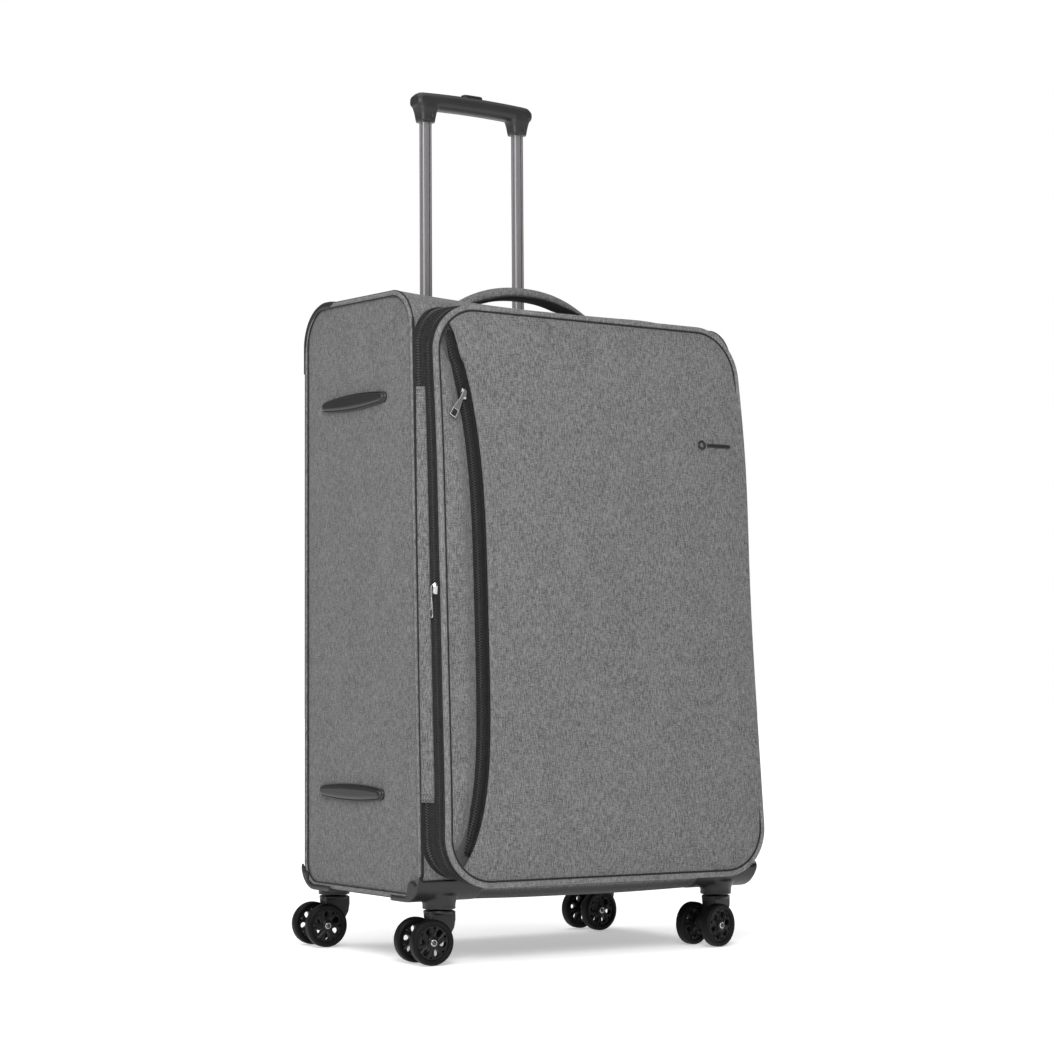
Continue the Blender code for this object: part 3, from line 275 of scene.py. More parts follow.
# GROOVE colours the strips of painted shade in the tubes' grooves.
GROOVE = metal("painted_groove_shade", (0.04, 0.04, 0.04), 0.6, 6.0)
STEEL = metal("zinc_steel", (0.58, 0.58, 0.57), 0.30)
CHROME = metal("bright_zinc", (0.62, 0.62, 0.61), 0.24)
DARK_METAL = metal("dark_metal", (0.09, 0.09, 0.092), 0.34)
COIL = moulded("coil_nylon", (0.040, 0.040, 0.041), 0.35, 1500.0, 0.00002)


# ---- meshes --------------------------------------------------------------------------------------
def linked(name, data):
    obj = bpy.data.objects.new(name, data)
    bpy.context.scene.collection.objects.link(obj)
    return obj


def dressed(name, mesh, material, smooth=True):
    """An object of one material, its faces all smooth or all flat."""
    mesh.materials.clear()
    mesh.materials.append(material)
    for polygon in mesh.polygons:
        polygon.use_smooth = smooth
        polygon.material_index = 0
    return linked(name, mesh)


def welded(mesh):
    """Merges a mesh's doubled points and turns its faces outwards."""
    shape = bmesh.new()
    shape.from_mesh(mesh)
    bmesh.ops.remove_doubles(shape, verts=shape.verts, dist=WELD)
    bmesh.ops.recalc_face_normals(shape, faces=shape.faces)
    shape.to_mesh(mesh)
    shape.free()
    return mesh


def made_object(name, verts, faces, material, smooth=True):
    mesh = bpy.data.meshes.new(name)
    mesh.from_pydata([tuple(map(float, v)) for v in verts], [], faces)
    return dressed(name, welded(mesh), material, smooth)


def put(obj, body, slot, *replaced):
    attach(obj, body)
    if replaced:
        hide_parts(*replaced)
    return obj


def loft(name, loops, material, ring=False, closed=True, caps=True, smooth=True):
    """Faces between loops of points. ring joins the last loop to the first."""
    count = len(loops[0])
    verts = [p for loop in loops for p in loop]
    faces = []
    pairs = [(i, i + 1) for i in range(len(loops) - 1)]
    if ring:
        pairs.append((len(loops) - 1, 0))
    for a, b in pairs:
        for k in range(count if closed else count - 1):
            n = (k + 1) % count
            faces.append((a * count + k, a * count + n, b * count + n, b * count + k))
    if caps and not ring and closed:
        faces.append(tuple(range(count)))
        faces.append(tuple(range((len(loops) - 1) * count, len(loops) * count)))
    return made_object(name, verts, faces, material, smooth)


def sweep(name, path, normals, profile, material, closed=True, smooth=True):
    """Runs a closed profile of (along normal, outwards) pairs along a path."""
    path = np.asarray(path, float)
    normals = np.asarray(normals, float)
    if normals.ndim == 1:
        normals = np.repeat(normals[None], len(path), 0)
    if closed:
        tangent = np.roll(path, -1, 0) - np.roll(path, 1, 0)
    else:
        tangent = np.gradient(path, axis=0)
    tangent /= np.linalg.norm(tangent, axis=1)[:, None]
    outward = np.cross(tangent, normals)
    outward /= np.linalg.norm(outward, axis=1)[:, None]
    across = np.cross(outward, tangent)
    loops = [[p + a * n + b * o for a, b in profile] for p, n, o in zip(path, across, outward)]
    return loft(name, loops, material, ring=closed, caps=not closed, smooth=smooth)


def circle(radius, steps=12, centre=(0.0, 0.0), squash=1.0):
    return [(centre[0] + radius * math.cos(2 * math.pi * k / steps),
             centre[1] + squash * radius * math.sin(2 * math.pi * k / steps)) for k in range(steps)]


def cord(name, points, normal, radius, body, closed=True, steps=8):
    """A round line of dark thread along a path; the pocket hem's line is a painted shadow, not thread."""
    put(sweep(name, points, normal, circle(radius, steps), THREAD_DARK, closed), body, "black_fabric")


def revolved(name, profile, steps, material):
    """A ring about Z from a closed profile of (radius, z) pairs."""
    loops = []
    for k in range(steps):
        angle = 2 * math.pi * k / steps
        loops.append([(r * math.cos(angle), r * math.sin(angle), z) for r, z in profile])
    return loft(name, loops, material, ring=True)


def stacked(name, rings, steps, material, centre=(0.0, 0.0)):
    """A solid of circles, each a (radius, z) pair, one after the other."""
    return loft(name, [[(*p, z) for p in circle(radius, steps, centre)] for radius, z in rings], material)


def rounded(corners, radii, arc=12, spans=20):
    """A closed polygon with rounded corners, each straight divided into spans."""
    corners = [np.array(c, float) for c in corners]
    count = len(corners)
    arcs = []
    for i in range(count):
        corner = corners[i]
        back = corners[i - 1] - corner
        ahead = corners[(i + 1) % count] - corner
        back /= np.linalg.norm(back)
        ahead /= np.linalg.norm(ahead)
        half = math.acos(float(np.clip(back @ ahead, -1, 1))) / 2
        radius = max(radii[i], 1e-5)
        bisector = (back + ahead) / np.linalg.norm(back + ahead)
        centre = corner + bisector * radius / math.sin(half)
        start = corner + back * radius / math.tan(half) - centre
        finish = corner + ahead * radius / math.tan(half) - centre
        swing = math.pi - 2 * half
        arcs.append([centre + start * math.sin((1 - k / arc) * swing) / math.sin(swing)
                     + finish * math.sin(k / arc * swing) / math.sin(swing) for k in range(arc + 1)])
    points = []
    for i in range(count):
        points.extend(arcs[i])
        first = arcs[i][-1]
        last = arcs[(i + 1) % count][0]
        for k in range(1, spans):
            points.append(first + (last - first) * k / spans)
    return np.array(points)


def rounded_box(width, height, radius, arc, spans, x=0.0, y=0.0):
    """A rectangle with rounded corners about a centre."""
    a, b = width / 2, height / 2
    corners = ((x + a, y + b), (x - a, y + b), (x - a, y - b), (x + a, y - b))
    return rounded(corners, [radius] * 4, arc, spans)


def case_outline(grow=0.0, arc=12, spans=24):
    """The case's side outline as (y, z): bottom front, bottom rear, top rear, top front."""
    corners = [np.array(c) for c in ((FRONT_LOW_Y, CASE_LOW), (REAR_LOW_Y, CASE_LOW),
                                     (REAR_HIGH_Y, CASE_HIGH_REAR), (FRONT_HIGH_Y, CASE_HIGH))]
    grown = []
    for i in range(4):
        back = corners[i - 1] - corners[i]
        ahead = corners[(i + 1) % 4] - corners[i]
        back /= np.linalg.norm(back)
        ahead /= np.linalg.norm(ahead)
        half = math.acos(float(back @ ahead)) / 2
        bisector = (back + ahead) / np.linalg.norm(back + ahead)
        grown.append(corners[i] - bisector * grow / math.sin(half))
    return rounded(grown, [r + grow for r in CORNER_RADII], arc, spans)


def lid_left_shift(z):
    """How far the lid's left edge is drawn in between its corners."""
    return 0.0034 / ((1 + np.exp(-(z - 0.135) / 0.018)) * (1 + np.exp((z - 0.66) / 0.030)))


def lid_outline(inset=0.0, arc=12, spans=24):
    """The lid's outline as (x, z)."""
    middle = lid_half((LID_HIGH + LID_LOW) / 2)
    half = middle - inset
    low = LID_LOW + inset
    high = LID_HIGH - inset
    corners = ((half, high), (-half, high), (-half, low), (half, low))
    plain = rounded(corners, [LID_RADIUS - inset] * 4, arc, spans)
    plain[:, 0] *= (lid_half(plain[:, 1]) - inset) / half
    left = lid_left_shift(plain[:, 1])
    right = 0.0072 * np.exp(-((plain[:, 1] - 0.60) / 0.14) ** 2)
    share = np.clip((plain[:, 0] + 0.10) / 0.20, 0, 1)
    plain[:, 0] += left + (right - left) * share
    return plain


def band_outline(inset, arc, spans):
    """The outline of the gusset's root, which is the case's opening, as (x, z)."""
    width, height = 2 * (BAND_HALF - inset), BAND_HIGH - BAND_LOW - 2 * inset
    return rounded_box(width, height, BAND_RADIUS - inset, arc, spans, 0.0, (BAND_HIGH + BAND_LOW) / 2)


FRONT_CURVE = case_outline(0.0, 24, 40)
FRONT_CURVE = FRONT_CURVE[FRONT_CURVE[:, 0] < -0.03]
FRONT_CURVE = FRONT_CURVE[np.argsort(FRONT_CURVE[:, 1])]
FRONT_CURVE = FRONT_CURVE[FRONT_CURVE[:, 0] < FRONT_CURVE[:, 0].min() + 0.075]


def surface_y(z):
    """The front of the case at a height, its rounded top and bottom edges included."""
    return np.interp(z, FRONT_CURVE[:, 1], FRONT_CURVE[:, 0])


def distances(points, outline):
    """Each point's distance from a closed outline, in two dimensions."""
    points = np.asarray(points, float)[:, None, :]
    a = np.asarray(outline, float)[None]
    b = np.roll(a, -1, 1)
    along = b - a
    share = ((points - a) * along).sum(2) / np.maximum((along ** 2).sum(2), 1e-12)
    nearest = a + along * np.clip(share, 0, 1)[..., None]
    return np.sqrt(((points - nearest) ** 2).sum(2)).min(1)


def row_limits(outline, level, axis=1):
    """The lowest and highest other coordinate of a closed outline at one level."""
    other = 1 - axis
    hits = []
    count = len(outline)
    for i in range(count):
        p, q = outline[i], outline[(i + 1) % count]
        if (p[axis] - level) * (q[axis] - level) <= 0 and p[axis] != q[axis]:
            share = (level - p[axis]) / (q[axis] - p[axis])
            hits.append(p[other] + (q[other] - p[other]) * share)
    return min(hits), max(hits)


def eased(count):
    """Shares from 0 to 1, closer together near both ends."""
    k = np.linspace(0, 1, count)
    return k - 0.85 * np.sin(2 * math.pi * k) / (2 * math.pi)


def panel_grid(outline, rows, columns, left_limit=None):
    """Points (a, b) of a grid that fills a closed outline, row by row up axis b."""
    low, high = outline[:, 1].min(), outline[:, 1].max()
    grid = []
    for share in eased(rows):
        level = low + (high - low) * min(max(share, 0.0004), 0.9996)
        first, last = row_limits(outline, level)
        if left_limit is not None:
            first = max(first, left_limit(level))
        grid.append([(first + (last - first) * s, level) for s in eased(columns)])
    return np.array(grid)


def margins(grid, edge):
    """Each grid point's distance from an outline, by its two coordinates."""
    flat = grid.reshape(-1, 2)
    return dict(zip(map(tuple, flat), distances(flat, edge)))


def eased_step(value):
    value = min(1.0, max(0.0, value))
    return value * value * (3 - 2 * value)


def ripple(x, z, seed, scale=6.0):
    return noise.noise(Vector((x * scale, z * scale, seed)))


def panel(name, grid, outer, inner, material):
    """A closed panel: outer and inner give the 3-D point of a grid point on each face."""
    rows, columns = grid.shape[:2]
    verts = [face(a, b) for face in (outer, inner) for a, b in grid.reshape(-1, 2)]
    size = rows * columns
    faces = []
    for r in range(rows - 1):
        for c in range(columns - 1):
            k = r * columns + c
            faces.append((k, k + 1, k + columns + 1, k + columns))
            faces.append((size + k, size + k + columns, size + k + columns + 1, size + k + 1))
    rim = [c for c in range(columns)] + [r * columns + columns - 1 for r in range(1, rows)]
    rim += [(rows - 1) * columns + c for c in range(columns - 2, -1, -1)]
    rim += [r * columns for r in range(rows - 2, 0, -1)]
    for k in range(len(rim)):
        a, b = rim[k], rim[(k + 1) % len(rim)]
        faces.append((a, b, size + b, size + a))
    return made_object(name, verts, faces, material)


def plate(name, outlines, thickness, bevel, material, steps=2):
    """A flat plate in XY from closed outlines, the first outside and the rest holes, with rounded edges."""
    curve = bpy.data.curves.new(name, "CURVE")
    curve.dimensions = "2D"
    curve.fill_mode = "BOTH"
    curve.extrude = max(thickness / 2 - bevel, 0.00001)
    curve.bevel_depth = bevel
    curve.bevel_resolution = steps
    curve.offset = -bevel
    for outline in outlines:
        spline = curve.splines.new("POLY")
        spline.points.add(len(outline) - 1)
        for point, (x, y) in zip(spline.points, outline):
            point.co = (x, y, 0, 1)
        spline.use_cyclic_u = True
    holder = linked(name + "_curve", curve)
    bpy.context.view_layer.update()
    mesh = bpy.data.meshes.new_from_object(holder.evaluated_get(bpy.context.evaluated_depsgraph_get()))
    mesh.name = name
    bpy.data.objects.remove(holder)
    bpy.data.curves.remove(curve)
    obj = dressed(name, welded(mesh), material)
    mesh.set_sharp_from_angle(angle=math.radians(40))
    return obj


def moved(obj, matrix):
    obj.data.transform(matrix)
    return obj


def joined(name, objects, material):
    """One object from several meshes, with one material."""
    shape = bmesh.new()
    for obj in objects:
        shape.from_mesh(obj.data)
    mesh = bpy.data.meshes.new(name)
    shape.to_mesh(mesh)
    shape.free()
    for obj in objects:
        bpy.data.objects.remove(obj)
    return dressed(name, mesh, material)


def applied(obj):
    """Makes an object's modifiers part of its mesh."""
    bpy.context.view_layer.update()
    mesh = bpy.data.meshes.new_from_object(obj.evaluated_get(bpy.context.evaluated_depsgraph_get()))
    old = obj.data
    obj.modifiers.clear()
    obj.data = mesh
    bpy.data.meshes.remove(old)
    return obj


def fused(obj, voxel, smoothing=6):
    """Merges a mesh's overlapping shells into one smooth skin."""
    remesh = obj.modifiers.new("fuse", "REMESH")
    remesh.mode = "VOXEL"
    remesh.voxel_size = voxel
    remesh.use_smooth_shade = True
    smooth = obj.modifiers.new("smooth", "SMOOTH")
    smooth.iterations = smoothing
    smooth.factor = 0.5
    material = obj.data.materials[0]
    applied(obj)
    obj.data.materials.clear()
    obj.data.materials.append(material)
    for polygon in obj.data.polygons:
        polygon.use_smooth = True
        polygon.material_index = 0
    return obj


def stitches(name, path, length, gap, radius, material):
    """A row of short rounded stitches along a 3-D path."""
    path = np.asarray(path, float)
    steps = np.linalg.norm(np.diff(path, axis=0), axis=1)
    along = np.concatenate([[0], np.cumsum(steps)])
    verts, faces = [], []
    start = gap / 2
    while start + length < along[-1]:
        ends = [np.array([np.interp(s, along, path[:, i]) for i in range(3)])
                for s in (start, start + length)]
        direction = ends[1] - ends[0]
        direction /= np.linalg.norm(direction)
        side = np.cross(direction, (0.31, 0.47, 0.83))
        side /= np.linalg.norm(side)
        up = np.cross(direction, side)
        base = len(verts)
        for share, size in ((0, 0.45), (0.2, 1.0), (0.8, 1.0), (1, 0.45)):
            centre = ends[0] + (ends[1] - ends[0]) * share
            for k in range(6):
                angle = math.pi * k / 3
                verts.append(centre + radius * size * (math.cos(angle) * side + math.sin(angle) * up))
        for ring in range(3):
            for k in range(6):
                n = (k + 1) % 6
                a = base + ring * 6
                faces.append((a + k, a + n, a + 6 + n, a + 6 + k))
        faces.append(tuple(base + k for k in range(6)))
        faces.append(tuple(base + 18 + k for k in range(6)))
        start += length + gap
    return made_object(name, verts, faces, material)


def closed_path(points):
    return np.vstack([points, points[:1]])


def slumped(x, y, z):
    """The soft upper right corner hangs in and down a little."""
    share = eased_step((z - 0.58) / 0.20) * eased_step((x - 0.10) / 0.135)
    return (x - 0.0150 * share, y, z - 0.0110 * share)


def sag(x, y, z):
    """How far the top sinks between the sides, most along its front edge."""
    across = max(0.0, 1 - (abs(x) / HALF_WIDTH) ** 2.2)
    return 0.0100 * across * (1 - eased_step((y - 0.015) / 0.095)) * eased_step((z - BAND_HIGH) / 0.020)


# ---- case fabric ---------------------------------------------------------------------------------
def inside_outline(outline, x, z):
    inside = False
    count = len(outline)
    for i in range(count):
        (ax, az), (bx, bz) = outline[i], outline[(i + 1) % count]
        if (az > z) != (bz > z) and x < ax + (bx - ax) * (z - az) / (bz - az):
            inside = not inside
    return inside


def nearest_on(outline, x, z):
    point = np.array([x, z])
    a = np.asarray(outline, float)
    b = np.roll(a, -1, 0)
    along = b - a
    share = np.clip(((point - a) * along).sum(1) / np.maximum((along ** 2).sum(1), 1e-12), 0, 1)
    nearest = a + along * share[:, None]
    return nearest[np.argmin(((nearest - point) ** 2).sum(1))]


def shell_swell(out, bulge):
    """How far the wrap stands off the plain case underneath, on top and behind."""
    if out[1] < -0.6:
        return 0.0045 * bulge
    if out[1] > 0.4:
        return 0.0020 * bulge
    return 0.0012 * bulge if out[0] > 0.5 else 0.0


def build_shell():
    """The wrap of fabric round the case: bottom, back, top, and the front margin round the opening."""
    outline = case_outline(-0.0006, 14, 40)
    inner = case_outline(-0.0030, 14, 40)
    half = HALF_WIDTH - 0.0014
    opening = band_outline(0.006, 16, 40)
    stations = half * (2 * eased(61) - 1)
    count = len(outline)
    verts = []
    for x in stations:
        bulge = max(0.0, 1 - (x / half) ** 2)
        for (y, z), (ya, za) in zip(outline, inner):
            out = np.array([y - ya, z - za])
            out /= np.linalg.norm(out)
            amount = shell_swell(out, bulge) + 0.0005 * ripple(x, y + z, 3.0, 9.0) * bulge
            verts.append(slumped(x, y + out[0] * amount, z + out[1] * amount - sag(x, y, z)))
    faces = []
    for i in range(len(stations) - 1):
        for k in range(count):
            n = (k + 1) % count
            face = (i * count + k, i * count + n, (i + 1) * count + n, (i + 1) * count + k)
            x, y, z = sum(np.array(verts[v]) for v in face) / 4
            in_opening = y < -0.03 and inside_outline(opening, x, z)
            at_bezel = abs(x) < BEZEL_HALF and y > BEZEL_Y and z > BEZEL_Z
            if not in_opening and not at_bezel:
                faces.append(face)
    # Vertices beside the opening are pulled onto its smooth edge.
    uses = Counter(tuple(sorted((face[k - 1], face[k]))) for face in faces for k in range(4))
    for v in {v for edge, times in uses.items() if times == 1 for v in edge}:
        x, y, z = verts[v]
        if abs(x) >= half - 0.001:
            continue
        if y < -0.03:
            x, z = nearest_on(opening, x, z)
            verts[v] = slumped(x, float(surface_y(z)) + 0.0006, z)
        elif abs(abs(x) - BEZEL_HALF) < 0.012:
            verts[v] = (math.copysign(BEZEL_HALF, x), y, z)
    used = sorted({v for face in faces for v in face})
    index = {v: i for i, v in enumerate(used)}
    faces = [tuple(index[v] for v in face) for face in faces]
    obj = made_object("shell_fabric", [verts[v] for v in used], faces, SHELL_GREY_SHADED_BELOW)
    thick = obj.modifiers.new("cloth", "SOLIDIFY")
    thick.thickness = 0.0016
    thick.offset = -1.0
    put(applied(obj), "case", "grey_fabric", "top_panel", "back_panel", "bottom_panel")


def build_frame():
    """The stiff frame behind the fabric round the opening, following the slumped corner."""
    node = nodes["front_frame"]
    verts = [node.matrix_world @ v.co for v in node.data.vertices]
    verts = [slumped(v.x * 0.985, v.y + 0.0010, v.z) for v in verts]
    faces = [tuple(polygon.vertices) for polygon in node.data.polygons]
    frame = made_object("opening_frame", verts, faces, PLASTIC, smooth=False)
    put(frame, "case", "black_plastic", "front_frame")


def side_ring(inset, arc=14, spans=40):
    """The side panel's outline, which stands a little inside the wrap's edge all round, as (y, z)."""
    points = case_outline(-inset, arc, spans)
    middle = np.array([(FRONT_LOW_Y + REAR_LOW_Y) / 2 + 0.0005, (CASE_LOW + CASE_HIGH) / 2])
    return middle + (points - middle) * np.array([0.975, 0.9965])


def ring_path(outline, x):
    return [slumped(x, y, z) for y, z in outline]


def build_side(side, label):
    """A side panel, the cord round it, the turned edge outside the cord, and the seams."""
    outline = side_ring(0.0052, 12, 24)
    grid = panel_grid(outline, 120, 60)
    room = margins(grid, outline)
    root = HALF_WIDTH - 0.0012

    def outer(y, z):
        inside = room[y, z]
        swell = 0.0026 * (1 - math.exp(-inside / 0.016))
        swell += 0.0007 * ripple(y, z, 5.0 + side, 7.0) * min(1, inside / 0.05)
        return slumped(side * (root + swell), y, z)

    def inner(y, z):
        return slumped(side * (root - 0.003), y, z)

    obj = panel(f"side_fabric_{label}", grid, outer, inner, GREY)
    put(obj, "case", "grey_fabric", f"side_panel_{label}")

    out = (1, 0, 0)
    points = ring_path(side_ring(PIPE), side * (HALF_WIDTH - 0.0008))
    pipe = sweep(f"side_piping_{label}_cord", points, out, circle(PIPE + 0.0002, 14), GREY_PIPING)
    put(pipe, "case", "grey_fabric", f"side_piping_{label}")
    wrap_edge, cord_middle = case_outline(-0.0009, 14, 40), side_ring(PIPE)
    far, near = side * (HALF_WIDTH - 0.0016), side * (HALF_WIDTH - 0.0050)
    loops = [ring_path(ring, x) for ring, x in ((wrap_edge, far), (wrap_edge, near), (cord_middle, near),
                                                (cord_middle, far))]
    put(loft(f"side_flange_{label}", loops, GREY_PIPING, ring=True), "case", "grey_fabric")
    seam = f"side_seam_{label}"
    cord(f"{seam}_inner", ring_path(side_ring(0.0055), side * (HALF_WIDTH + 0.0002)), out, 0.0009, "case")
    edge = side * (HALF_WIDTH - 0.0004)
    cord(f"{seam}_outer", ring_path(case_outline(-0.0010, 14, 40), edge), out, 0.0007, "case")
    levels = np.linspace(CASE_LOW + 0.028, 0.742, 60)
    points = [slumped(edge, float(surface_y(z)) + 0.0010, z) for z in levels]
    cord(f"{seam}_front", points, out, 0.0017, "case", False, 10)


def build_guards():
    """Plastic guards folded over the upper rear corners and the cords there."""
    ring = case_outline(0.0, 24, 60)
    inward = case_outline(-0.001, 24, 60)
    keep = [k for k in range(len(ring)) if ring[k][1] > 0.700 and ring[k][0] > 0.085]
    keep.sort(key=lambda k: (ring[k][0] < 0.150, ring[k][1] if ring[k][0] >= 0.150 else 0, -ring[k][0]))
    for side, label in ((-1, "left"), (1, "right")):
        loops = []
        for i, k in enumerate(keep):
            out = (ring[k] - inward[k]) / 0.001
            end = min(1.0, min(i, len(keep) - 1 - i) / 4)
            thick = 0.0004 + 0.0012 * end
            wide = 0.0035 + 0.0040 * end
            profile = ((-0.0020, -wide), (0.0022, -wide), (0.0024, -0.0035), (0.0014, -0.0005),
                       (-0.0010, thick), (-0.0060, thick + 0.0004), (-0.0040 - wide, thick),
                       (-0.0044 - wide, -0.0010), (-0.0060, -0.0010))
            loops.append([slumped(side * (HALF_WIDTH + x), *(ring[k] + out * lift)) for x, lift in profile])
        guard = loft(f"corner_guard_fold_{label}", loops, PLASTIC)
        put(guard, "case", "black_plastic", f"corner_guard_{label}")


def foot_outline(length, height, spans=28):
    """A long lens with blunt round ends, as (along, up)."""
    def reach(s):
        body = 0.56 + 0.44 * (1 - s * s)
        end = min(1.0, (1 - abs(s)) / 0.055)
        return height / 2 * body * math.sqrt(1 - (1 - end) ** 2)
    shares = [math.sin(math.pi / 2 * (2 * k / spans - 1)) for k in range(spans + 1)]
    upper = [(length / 2 * s, reach(s)) for s in shares]
    lower = [(length / 2 * s, -reach(s)) for s in shares[::-1][1:-1]]
    return upper + lower


def build_feet():
    """The two long feet on the left side, each with a screw at its front end."""
    for label in ("lower", "upper"):
        low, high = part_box(f"side_foot_{label}")
        middle_y, middle_z = (low[1] + high[1]) / 2, (low[2] + high[2]) / 2
        length, height = high[1] - low[1], (high[2] - low[2]) * 1.08
        root, rise = high[0], high[0] - low[0]
        loops = []
        for shrink, out in ((1.0, 0.0), (1.0, 0.30), (0.985, 0.46), (0.90, 0.66), (0.86, 0.66), (0.84, 0.60),
                            (0.80, 0.60), (0.78, 0.72), (0.70, 0.93), (0.55, 1.0), (0.30, 1.0)):
            outline = foot_outline(length - (1 - shrink) * height * 1.2, height * shrink)
            loops.append([(root - rise * out + 0.0006, middle_y + a, middle_z + b) for a, b in outline])
        foot = loft(f"foot_{label}", loops, FOOT_PLASTIC)
        put(foot, "case", "black_plastic", f"side_foot_{label}")
        screw = []
        for radius, out in ((0.0022, 0.55), (0.0022, 0.74), (0.0017, 0.80), (0.0009, 0.80), (0.0008, 0.74)):
            centre = (middle_y - length / 2 + 0.0095, middle_z)
            screw.append([(root - rise * out, y, z) for y, z in circle(radius, 16, centre)])
        put(loft(f"foot_screw_{label}", screw, STEEL), "case", "steel")


# ---- gusset, strap, zips -------------------------------------------------------------------------
def band_loops():
    """The gusset's root on the case, its lip behind the lid, and the way out of it."""
    front = lid_outline(0.001, 24, 48)
    root = np.array([slumped(x, float(surface_y(z)) + 0.0012, z - 0.5 * sag(x, -0.1, z))
                     for x, z in band_outline(0.0, 24, 48)])
    lip = np.array([(x, lid_y(z) + 0.0062, z) for x, z in front])
    flat = np.roll(front, -1, 0) - np.roll(front, 1, 0)
    out = np.stack([-flat[:, 1], np.zeros(len(flat)), flat[:, 0]], 1)
    out /= np.linalg.norm(out, axis=1)[:, None]
    if out[0] @ np.array([front[0][0], 0, front[0][1] - 0.43]) < 0:
        out = -out
    return root, lip, out


BAND_ROOT, BAND_LIP, BAND_OUT = band_loops()
COIL_PITCH = 0.0016
COIL_CORNERS = ((-1, -1, 0), (1, -1, 0), (1, 1, 0), (-1, 1, 0),
                (-0.7, -0.6, 1), (0.7, -0.6, 1), (0.7, 0.6, 1), (-0.7, 0.6, 1))
COIL_FACES = ((0, 3, 2, 1), (4, 5, 6, 7), (0, 1, 5, 4), (1, 2, 6, 5), (2, 3, 7, 6), (3, 0, 4, 7))


def on_band(share, lift):
    """A closed path round the gusset, from the case (0) to the lid (1)."""
    return BAND_ROOT + (BAND_LIP - BAND_ROOT) * share + BAND_OUT * lift


def coil(name, blocks, body):
    """A zip's coil of small tapered blocks, each a centre and three vectors: across, ahead and up."""
    verts, faces = [], []
    for centre, across, ahead, up in blocks:
        base = len(verts)
        verts += [centre + a * across + b * ahead + c * up for a, b, c in COIL_CORNERS]
        faces += [tuple(base + f for f in face) for face in COIL_FACES]
    put(made_object(name, verts, faces, COIL, smooth=False), body, "black_fabric")


def coil_row(name, share, lift):
    """The coil of a zip that runs right round the gusset."""
    path = closed_path(on_band(share, lift))
    depth = BAND_LIP - BAND_ROOT
    depth = closed_path(depth / np.linalg.norm(depth, axis=1)[:, None])
    along = np.concatenate([[0], np.cumsum(np.linalg.norm(np.diff(path, axis=0), axis=1))])
    count = int(along[-1] / COIL_PITCH)
    stations = (np.arange(count) + 0.5) * along[-1] / count
    sampled = [np.stack([np.interp(stations, along, values[:, i]) for i in range(3)], 1)
               for values in (path, depth, closed_path(BAND_OUT))]
    blocks = []
    for k, (centre, across, up) in enumerate(zip(*sampled)):
        centre = centre + across * (0.0009 if k % 2 else -0.0009) - up * 0.0004
        blocks.append((centre, across * 0.0013, np.cross(across, up) * COIL_PITCH * 0.42, up * 0.0011))
    coil(name, blocks, "expander")


def build_band():
    """The gusset between case and lid: a closed ring of black fabric that bulges between its two zips."""
    profile = ((0.00, -0.0015), (0.02, 0.0002), (0.06, 0.0008), (0.10, 0.0004), (0.18, -0.0006),
               (0.24, -0.0010), (0.30, -0.0006), (0.37, 0.0004), (0.42, 0.0010), (0.50, 0.0016),
               (0.58, 0.0014), (0.635, 0.0002), (0.650, -0.0012), (0.665, 0.0004), (0.685, 0.0016),
               (0.74, 0.0018), (0.775, 0.0010), (0.79, -0.0014), (0.84, -0.0012), (0.855, 0.0008),
               (0.88, 0.0014), (0.93, 0.0012), (0.96, 0.0000), (1.00, -0.0012), (1.0, -0.0030),
               (0.5, -0.0026), (0.0, -0.0030))
    band = loft("gusset_fabric", [on_band(share, lift) for share, lift in profile], BLACK_WEAVE, ring=True)
    put(band, "expander", "black_fabric", "expander_band")
    cord("gusset_root_seam", on_band(0.004, 0.0002), BAND_OUT, 0.0019, "expander", steps=10)
    coil_row("expander_zip_coil", 0.24, 0.0004)
    coil_row("main_zip_coil", 0.815, 0.0002)
    for label, share in (("case", 0.115), ("lid", 0.36)):
        path = closed_path(on_band(share, 0.0008))
        row = stitches(f"expander_zip_stitch_{label}", path, 0.0022, 0.0012, 0.00028, THREAD_DARK)
        put(row, "expander", "black_fabric")


def build_strap():
    """The flat grey strip over the middle of the gusset's left side, held by rows of zigzag stitches."""
    low, high = (corner[2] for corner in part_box("side_strap"))

    def at(z, share, lift):
        root = np.array([-BAND_HALF, float(surface_y(z)) + 0.0012, z])
        lip = np.array([-lid_half(z) + 0.001 + float(lid_left_shift(z)), lid_y(z) + 0.0062, z])
        return root + (lip - root) * share + np.array([-lift, 0, 0])

    loops = []
    for z in np.linspace(low, high, 60):
        swell = 0.0006 * min(1.0, min(abs(z - low), abs(z - high)) / 0.03)
        swell += 0.0002 * ripple(0.2, z, 8.0, 20.0)
        loops.append([at(z, 0.060, 0.0006), at(z, 0.070, 0.0024), at(z, 0.15, 0.0027 + swell),
                      at(z, 0.33, 0.0028 + swell), at(z, 0.50, 0.0027 + swell), at(z, 0.600, 0.0024),
                      at(z, 0.612, 0.0006)])
    put(loft("gusset_strip", loops, GREY), "expander", "grey_fabric", "side_strap")
    for label, base, direction in (("low", low, 1), ("high", high, -1)):
        for row in range(2):
            z = base + direction * (0.0035 + row * 0.0060)
            points = [at(z + (0.0011 if k % 2 else -0.0011), 0.06 + 0.52 * k / 8, 0.0031) for k in range(9)]
            dark = stitches(f"strip_stitch_{label}_{row}", points, 0.0013, 0.0005, 0.00032, THREAD_DARK)
            put(dark, "expander", "black_fabric")
            points = [p + np.array([-0.00015, 0, 0.0009]) for p in points]
            name = f"strip_stitch_light_{label}_{row}"
            light = stitches(name, points, 0.0009, 0.0010, 0.00026, THREAD_LIGHT)
            put(light, "expander", "grey_fabric")


